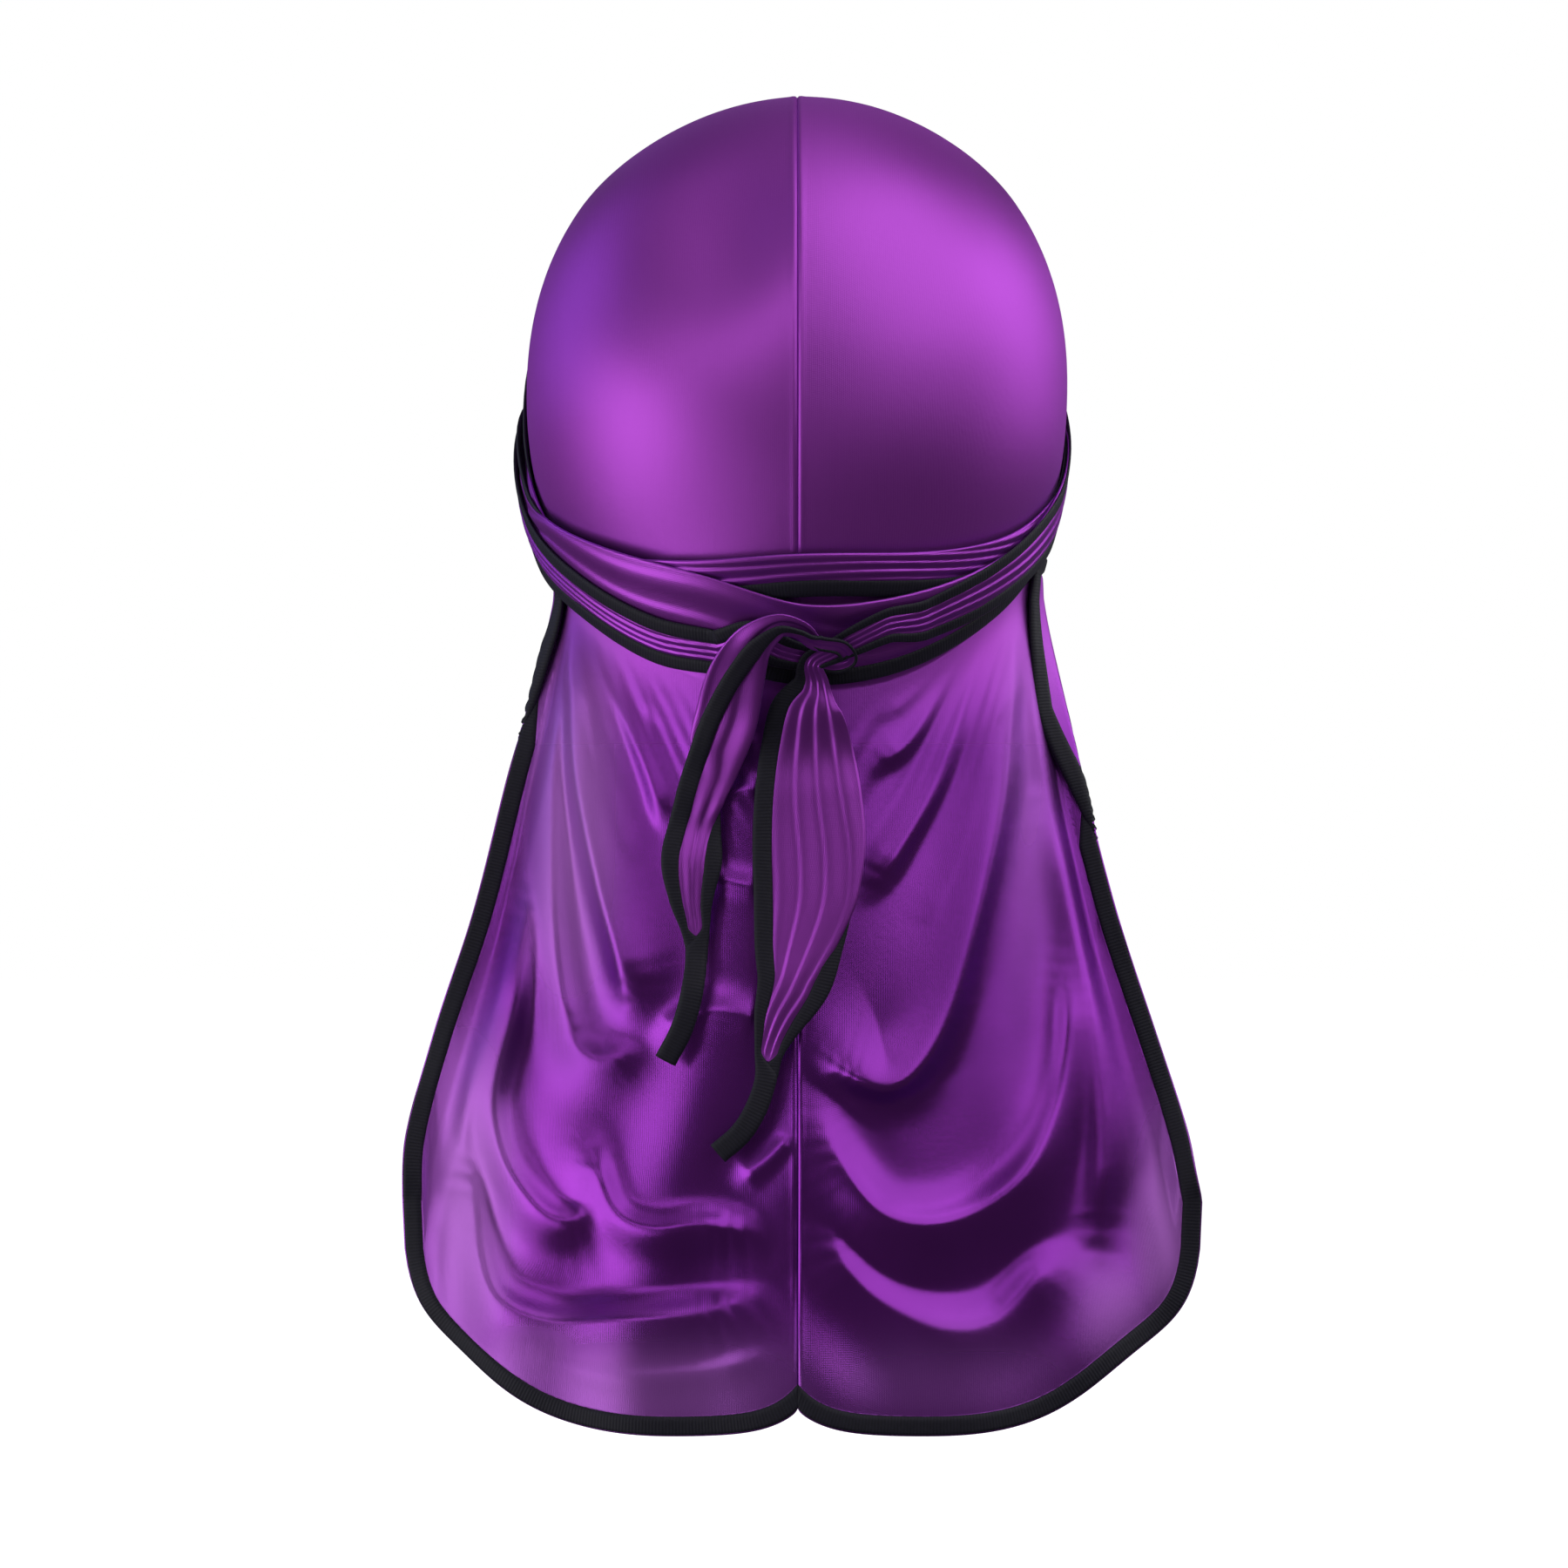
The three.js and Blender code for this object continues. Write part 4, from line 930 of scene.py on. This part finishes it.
def knot_stations(rows):
    """Places and normals of a tie in the knot, standing off the head so that it is seen at its
    side and height from behind."""
    x = knot_side + rows[:, 0] * knot_width
    z = level_of(knot_level) + rows[:, 1] * knot_width
    low = level_of(1)
    stand = knot_stand(rows)
    turn, level = np.arcsin(x / head_back), np.maximum(z, low)
    place = off_head(turn, level, stand)
    for _ in range(3):
        turn = turn + (x - place[:, 0]) / head_back
        level = np.maximum(low, level + z - place[:, 2])
        place = off_head(turn, level, stand)
    lean = ease(0, knot_width, low - z)[:, None]
    normal = head_normal(turn, level) * (1 - lean) + np.array([0.0, 1.0, 0.0]) * lean
    place[:, 2] = np.minimum(place[:, 2], z)
    return place, normal


def tail_stations(rows):
    """Places of a tail that hangs just clear of the folds behind it."""
    x = rows[:, 0] * cape_half_width
    z = -nape_drop - rows[:, 1] * (cape_widest_drop + cape_lobe - nape_drop)
    away = np.hypot(cape_face[None, :, 0] - x[:, None], cape_face[None, :, 2] - z[:, None])
    face = np.where(away < tail_reach, cape_face[None, :, 1], -1).max(axis=1)
    place = stack(x, face + tail_clear, z)
    return place, np.broadcast_to([0.0, 1.0, 0.0], place.shape)


def through(knots, steps):
    """Centripetal Catmull-Rom curve through the knots, with so many steps to a span, and the
    share along it of each of its points, counted in knots."""
    points = np.concatenate([2 * knots[:1] - knots[1:2], knots, 2 * knots[-1:] - knots[-2:-1]])
    share = np.arange(1, (len(knots) - 1) * steps + 1) / steps
    row = np.minimum(np.ceil(share).astype(int) - 1, len(knots) - 2)
    t = (share - row)[:, None]
    a, b, c, d = points[row], points[row + 1], points[row + 2], points[row + 3]
    before, here, after = (np.sqrt(length(part)) for part in (b - a, c - b, d - c))
    lead = (b - a) / before - (c - a) / (before + here) + (c - b) / here
    trail = (c - b) / here - (d - b) / (here + after) + (d - c) / after
    lead, trail = lead * here, trail * here
    curve = b + lead * t + (3 * (c - b) - 2 * lead - trail) * t**2
    return curve + (2 * (b - c) + lead + trail) * t**3, share


wrap_step = 2.2
free_steps = 9


def lay_tie(wrap, knot, tail, side):
    """Sections of a tie from end to end: place, direction across it, normal, width, stand off
    the head, how its edges lie, bare tape or not, and how far it keeps to the head's surface
    (grip) and is pressed flat on it (press)."""
    count = int(abs(wrap[-1, 0] - wrap[0, 0]) / wrap_step)
    turn = np.linspace(wrap[0, 0], wrap[-1, 0], count)
    away = (turn - snug_turn + 180) % 360 - 180
    press = 1 - snug_share * np.exp(-((away / snug_reach) ** 2))
    level = level_of(read_table(wrap, 0, 1, turn))
    stand = first_stand + (read_table(wrap, 0, 3, turn) - 1) * layer_step
    place = off_head(np.radians(turn), level, stand * press)
    normal = head_normal(np.radians(turn), level)
    width = read_table(wrap, 0, 2, turn) * strap_width
    edges = [np.interp(-turn * side, -wrap[:, 0] * side, wrap[:, column]) for column in (4, 5)]
    edges = np.stack(edges, axis=1)

    knot_place, knot_normal = knot_stations(knot)
    tail_place, tail_normal = tail_stations(tail)
    knots = np.concatenate([place[-1:], knot_place, tail_place])
    tail_width = np.where(tail[:, 3] > 0, tip_width, tail[:, 2] * strap_width)
    hanging = np.concatenate([
        np.concatenate([normal[-1:], knot_normal, tail_normal]),
        np.concatenate([width[-1:], knot[:, 2] * strap_width, tail_width])[:, None],
        np.concatenate([stand[-1:], knot_stand(knot), 0 * tail_width])[:, None],
        np.concatenate([edges[-1:], knot[:, 4:], tail[:, 4:]]),
    ], axis=1)
    curve, share = through(knots, free_steps)
    free = catmull_rom(hanging, share)
    bare = np.concatenate([[0], 0 * knot[:, 0], tail[:, 3]])
    bare = np.interp(share, np.arange(len(knots)), bare)

    place = np.concatenate([place, curve])
    normal = np.concatenate([normal, free[:, :3]])
    along = np.gradient(place, axis=0)
    across = unit(np.cross(normal, along)) * side
    edges = np.concatenate([edges, free[:, 5:]])
    return {
        "place": place,
        "across": across,
        "normal": unit(np.cross(along, across)) * side,
        "width": np.concatenate([width, free[:, 3]]),
        "stand": np.concatenate([stand, free[:, 4]]),
        "press": np.concatenate([press, np.ones(len(curve))]),
        "grip": np.concatenate([0 * stand + 1, 1 - ease(0, 1, share)]),
        "upper": np.maximum(-1, edges[:, 0]),
        "lower": np.maximum(-1, edges[:, 1]),
        "bare": np.concatenate([0 * stand, bare]),
        "tape_share": np.full(len(place), tape_share[side]),
    }


def tie_place(tie, reach, height):
    """Points of a tie's sections, a reach across and a height above the underside. Where it is
    wrapped, the section follows the head's surface."""
    place = tie["place"][:, None] + tie["across"][:, None] * reach[..., None]
    free = place + tie["normal"][:, None] * height[..., None]
    stand = (tie["stand"][:, None] + height) * tie["press"][:, None]
    wrapped = off_head(turn_of(place), place[..., 2], stand)
    grip = tie["grip"][:, None, None]
    return wrapped * grip + free * (1 - grip)


def tape_of(tie, word):
    """Width of a tie's tape: a share of the tie's, more where the other edge is tucked under,
    less where the tie is drawn narrow, and all of it where the tape is bare."""
    other = tie["lower" if word == "upper" else "upper"]
    share = tie["tape_share"] + tucked_more * np.clip(-other, 0, 1)
    share = share * ease(-tape_narrow / 3, tape_narrow, tie["width"])
    whole = np.minimum(tape_width, share * tie["width"])
    return whole + (tie["width"] - whole) * ease(0, 1, tie["bare"])


pleat_rows = 34
# Columns: how far the teeth drift, over what length, and how much the seed shifts it.
pleat_drifts = ((0.35, 0.031, 1), (0.22, 0.013, 2.3))
teeth_half, teeth_sway, teeth_run = 1.5, 0.5, 0.055
tooth_rise, tooth_fall = (0, 0.74), (0.8, 1)
pleat_ease, crown_ease = (0.001, 0.005), (0.002, 0.006)
tuck_height = 0.0006
satin_end = 0.6


def pleats(share, run, half, seed):
    """Lengthwise knife pleats: saw teeth that drift by sines along the strap. They fade at its
    edges and where it is drawn to a point."""
    drift = sum(far * np.sin(run / span + shift * seed) for far, span, shift in pleat_drifts)
    teeth = (teeth_half + teeth_sway * np.sin(run / teeth_run + seed)) * (share + 1) + drift
    part = teeth - np.floor(teeth)
    tooth = ease(*tooth_rise, part) * (1 - ease(*tooth_fall, part))
    fade = 1 - np.abs(share) ** 6
    return pleat_depth * tooth * fade * ease(*pleat_ease, half)


def make_strap(name, tie, seed):
    """Satin of a tie: a pleated, slightly crowned ribbon, closed all round. It ends under its
    tape, or runs out to the edge where the tape is tucked under or folded back."""
    keep = tie["bare"] < satin_end
    tie = {key: value[keep] for key, value in tie.items()}
    reach = {}
    for word in ("upper", "lower"):
        cover = np.clip(np.abs(tie[word]), 0, 1)
        reach[word] = (tie["width"] / 2 - (tape_of(tie, word) - tape_lap) * (1 - cover))[:, None]
    half, middle = (reach["upper"] + reach["lower"]) / 2, (reach["upper"] - reach["lower"]) / 2
    share = np.linspace(-1, 1, pleat_rows)[None, :]
    run = length(np.diff(tie["place"], axis=0, prepend=tie["place"][:1])).cumsum()[:, None]
    tucked = (np.clip(-tie["upper"], 0, 1)[:, None] * ease(0, 1, share)
              + np.clip(-tie["lower"], 0, 1)[:, None] * ease(0, 1, -share))
    rise = pleats(share, run, half, seed) + tuck_height * tucked
    rise = rise + crown_depth * (1 - share**2) * ease(*crown_ease, half)
    place = middle + share * half
    under = tie_place(tie, place, rise)
    over = tie_place(tie, place, rise + strap_cloth)
    return close_sections(name, np.concatenate([under, over[:, ::-1]], axis=1))


tape_steps = 7
strap_tape_height = 0.0012
fold_height = 0.0013
tuck_inset = 0.001
tuck_thin = 0.55
tip_thin = 0.4


def make_strap_tape(name, tie, word):
    """Tape along one edge of a tie, with rounded edges: out at the edge, or folded back on top of
    the satin, or tucked under it. The upper tape alone runs on as the bare tip."""
    if word == "lower":
        keep = tie["bare"] < 1
        tie = {key: value[keep] for key, value in tie.items()}
    edge = 1 if word == "upper" else -1
    fold, tuck = np.maximum(0, tie[word])[:, None], np.clip(-tie[word], 0, 1)[:, None]
    share = np.linspace(0, 1, tape_steps)[None, :]
    far = tie["width"][:, None] / 2 - fold * mm - tuck * tuck_inset
    reach = edge * (far - tape_of(tie, word)[:, None] * share)
    round_off = np.sqrt(np.clip(1 - np.abs(2 * share - 1) ** 4, 0.06, 1))
    middle = strap_tape_height / 2 * (1 - tuck_thin * tuck)
    if word == "lower":
        middle = middle * (1 - tip_thin * ease(0, 1, tie["bare"]))[:, None]
    base = fold_height * np.minimum(1, fold)
    over = tie_place(tie, reach, base + middle * (1 + round_off))
    under = tie_place(tie, reach, base + middle * (1 - round_off))
    return close_sections(name, np.concatenate([under, over[:, ::-1]], axis=1))


tables = {
    "left": (left_wrap, left_knot, left_tail, LEFT),
    "right": (right_wrap, right_knot, right_tail, RIGHT),
}
for label, parts in tables.items():
    tie = lay_tie(*parts)
    strap = make_strap(f"tie_{label}", tie, 1.0 + parts[3])
    add_value(strap, "sheer_and_backlight", np.zeros(len(strap.data.vertices)))
    # Painted light: the ties' colour is painted partway to the crown's paler one.
    add_value(strap, "taut_and_painted_light", np.full(len(strap.data.vertices), tie_taut_and_painted_light))
    strap.data.materials.append(satin)
    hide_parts(f"strap_{label}")
    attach(strap, "root")
    for word in ("upper", "lower"):
        edging = make_strap_tape(f"tie_{label}_tape_{word}", tie, word)
        edging.data.materials.append(tape)
        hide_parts(f"strap_{label}_tape_{word}")
        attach(edging, "root")

# Studio
# Plain pale floor, white surroundings and soft lights. The camera looks at the back of the head,
# level with the knot, as the photograph does.

floor_drop = 0.47
floor_half = 6.0
corners = np.array([(-1, -1, 0), (1, -1, 0), (1, 1, 0), (-1, 1, 0)]) * floor_half
floor = fill_mesh("floor", corners + np.array([0, 0, -floor_drop]), [[0, 1, 2, 3]])
paper, _, paper_shader = new_material("pale_paper")
paper_shader.inputs["Base Color"].default_value = (0.5, 0.5, 0.5, 1)
paper_shader.inputs["Roughness"].default_value = 0.9
paper_shader.inputs["Emission Color"].default_value = (1, 1, 1, 1)
paper_shader.inputs["Emission Strength"].default_value = 1.0
floor.data.materials.append(paper)
floor.visible_diffuse = False
floor.visible_glossy = False
floor.visible_shadow = False

world = bpy.data.worlds.new("white_room")
world.use_nodes = True
bpy.context.scene.world = world
room = world.node_tree.nodes
white = room["Background"]
white.inputs["Color"].default_value = (1, 1, 1, 1)
white.inputs["Strength"].default_value = 1.0
dim = room.new("ShaderNodeBackground")
dim.inputs["Strength"].default_value = 0.085
rays = room.new("ShaderNodeLightPath")
choice = room.new("ShaderNodeMixShader")
world.node_tree.links.new(rays.outputs["Is Camera Ray"], choice.inputs[0])
world.node_tree.links.new(dim.outputs[0], choice.inputs[1])
world.node_tree.links.new(white.outputs[0], choice.inputs[2])
world.node_tree.links.new(choice.outputs[0], room["World Output"].inputs["Surface"])


light_aim = np.array([0, 0, -0.2])


def add_softbox(name, place, size, power, colour=(1, 1, 1)):
    """Square area light that looks from a place at the durag's middle."""
    lamp = bpy.data.lights.new(name, "AREA")
    lamp.size = size
    lamp.energy = power
    lamp.color = colour
    box = bpy.data.objects.new(name, lamp)
    box.visible_camera = False
    bpy.context.scene.collection.objects.link(box)
    away = np.array(place) - light_aim
    flat = np.hypot(away[0], away[1])
    box.location = place
    box.rotation_euler = (np.arctan2(flat, away[2]), 0, np.arctan2(away[0], -away[1]))


add_softbox("right_window", (-0.85, 0.71, 0.73), 2.0, 16.5)
add_softbox("left_window", (1.30, 0.58, -0.42), 1.3, 11)
add_softbox("left_fill", (0.72, 1.25, 0.60), 0.7, 2.4)
add_softbox("left_rim", (1.23, -0.45, 0.41), 1.0, 3.5, (0.62, 0.66, 1.0))
add_softbox("right_rim", (-1.28, -0.47, 0.3), 1.0, 6)
add_softbox("top_light", (-0.1, 0.1, 1.3), 1.3, 3)

lens = 130.8
sensor = 36.0
camera_place = (0.0039, 1.7, -0.2054)
view = bpy.data.cameras.new("camera")
view.lens = lens
view.sensor_width = sensor
camera = bpy.data.objects.new("camera", view)
camera.location = camera_place
camera.rotation_euler = (np.pi / 2, 0, np.pi)
bpy.context.scene.collection.objects.link(camera)
bpy.context.scene.camera = camera
bpy.context.scene.view_settings.view_transform = "Standard"
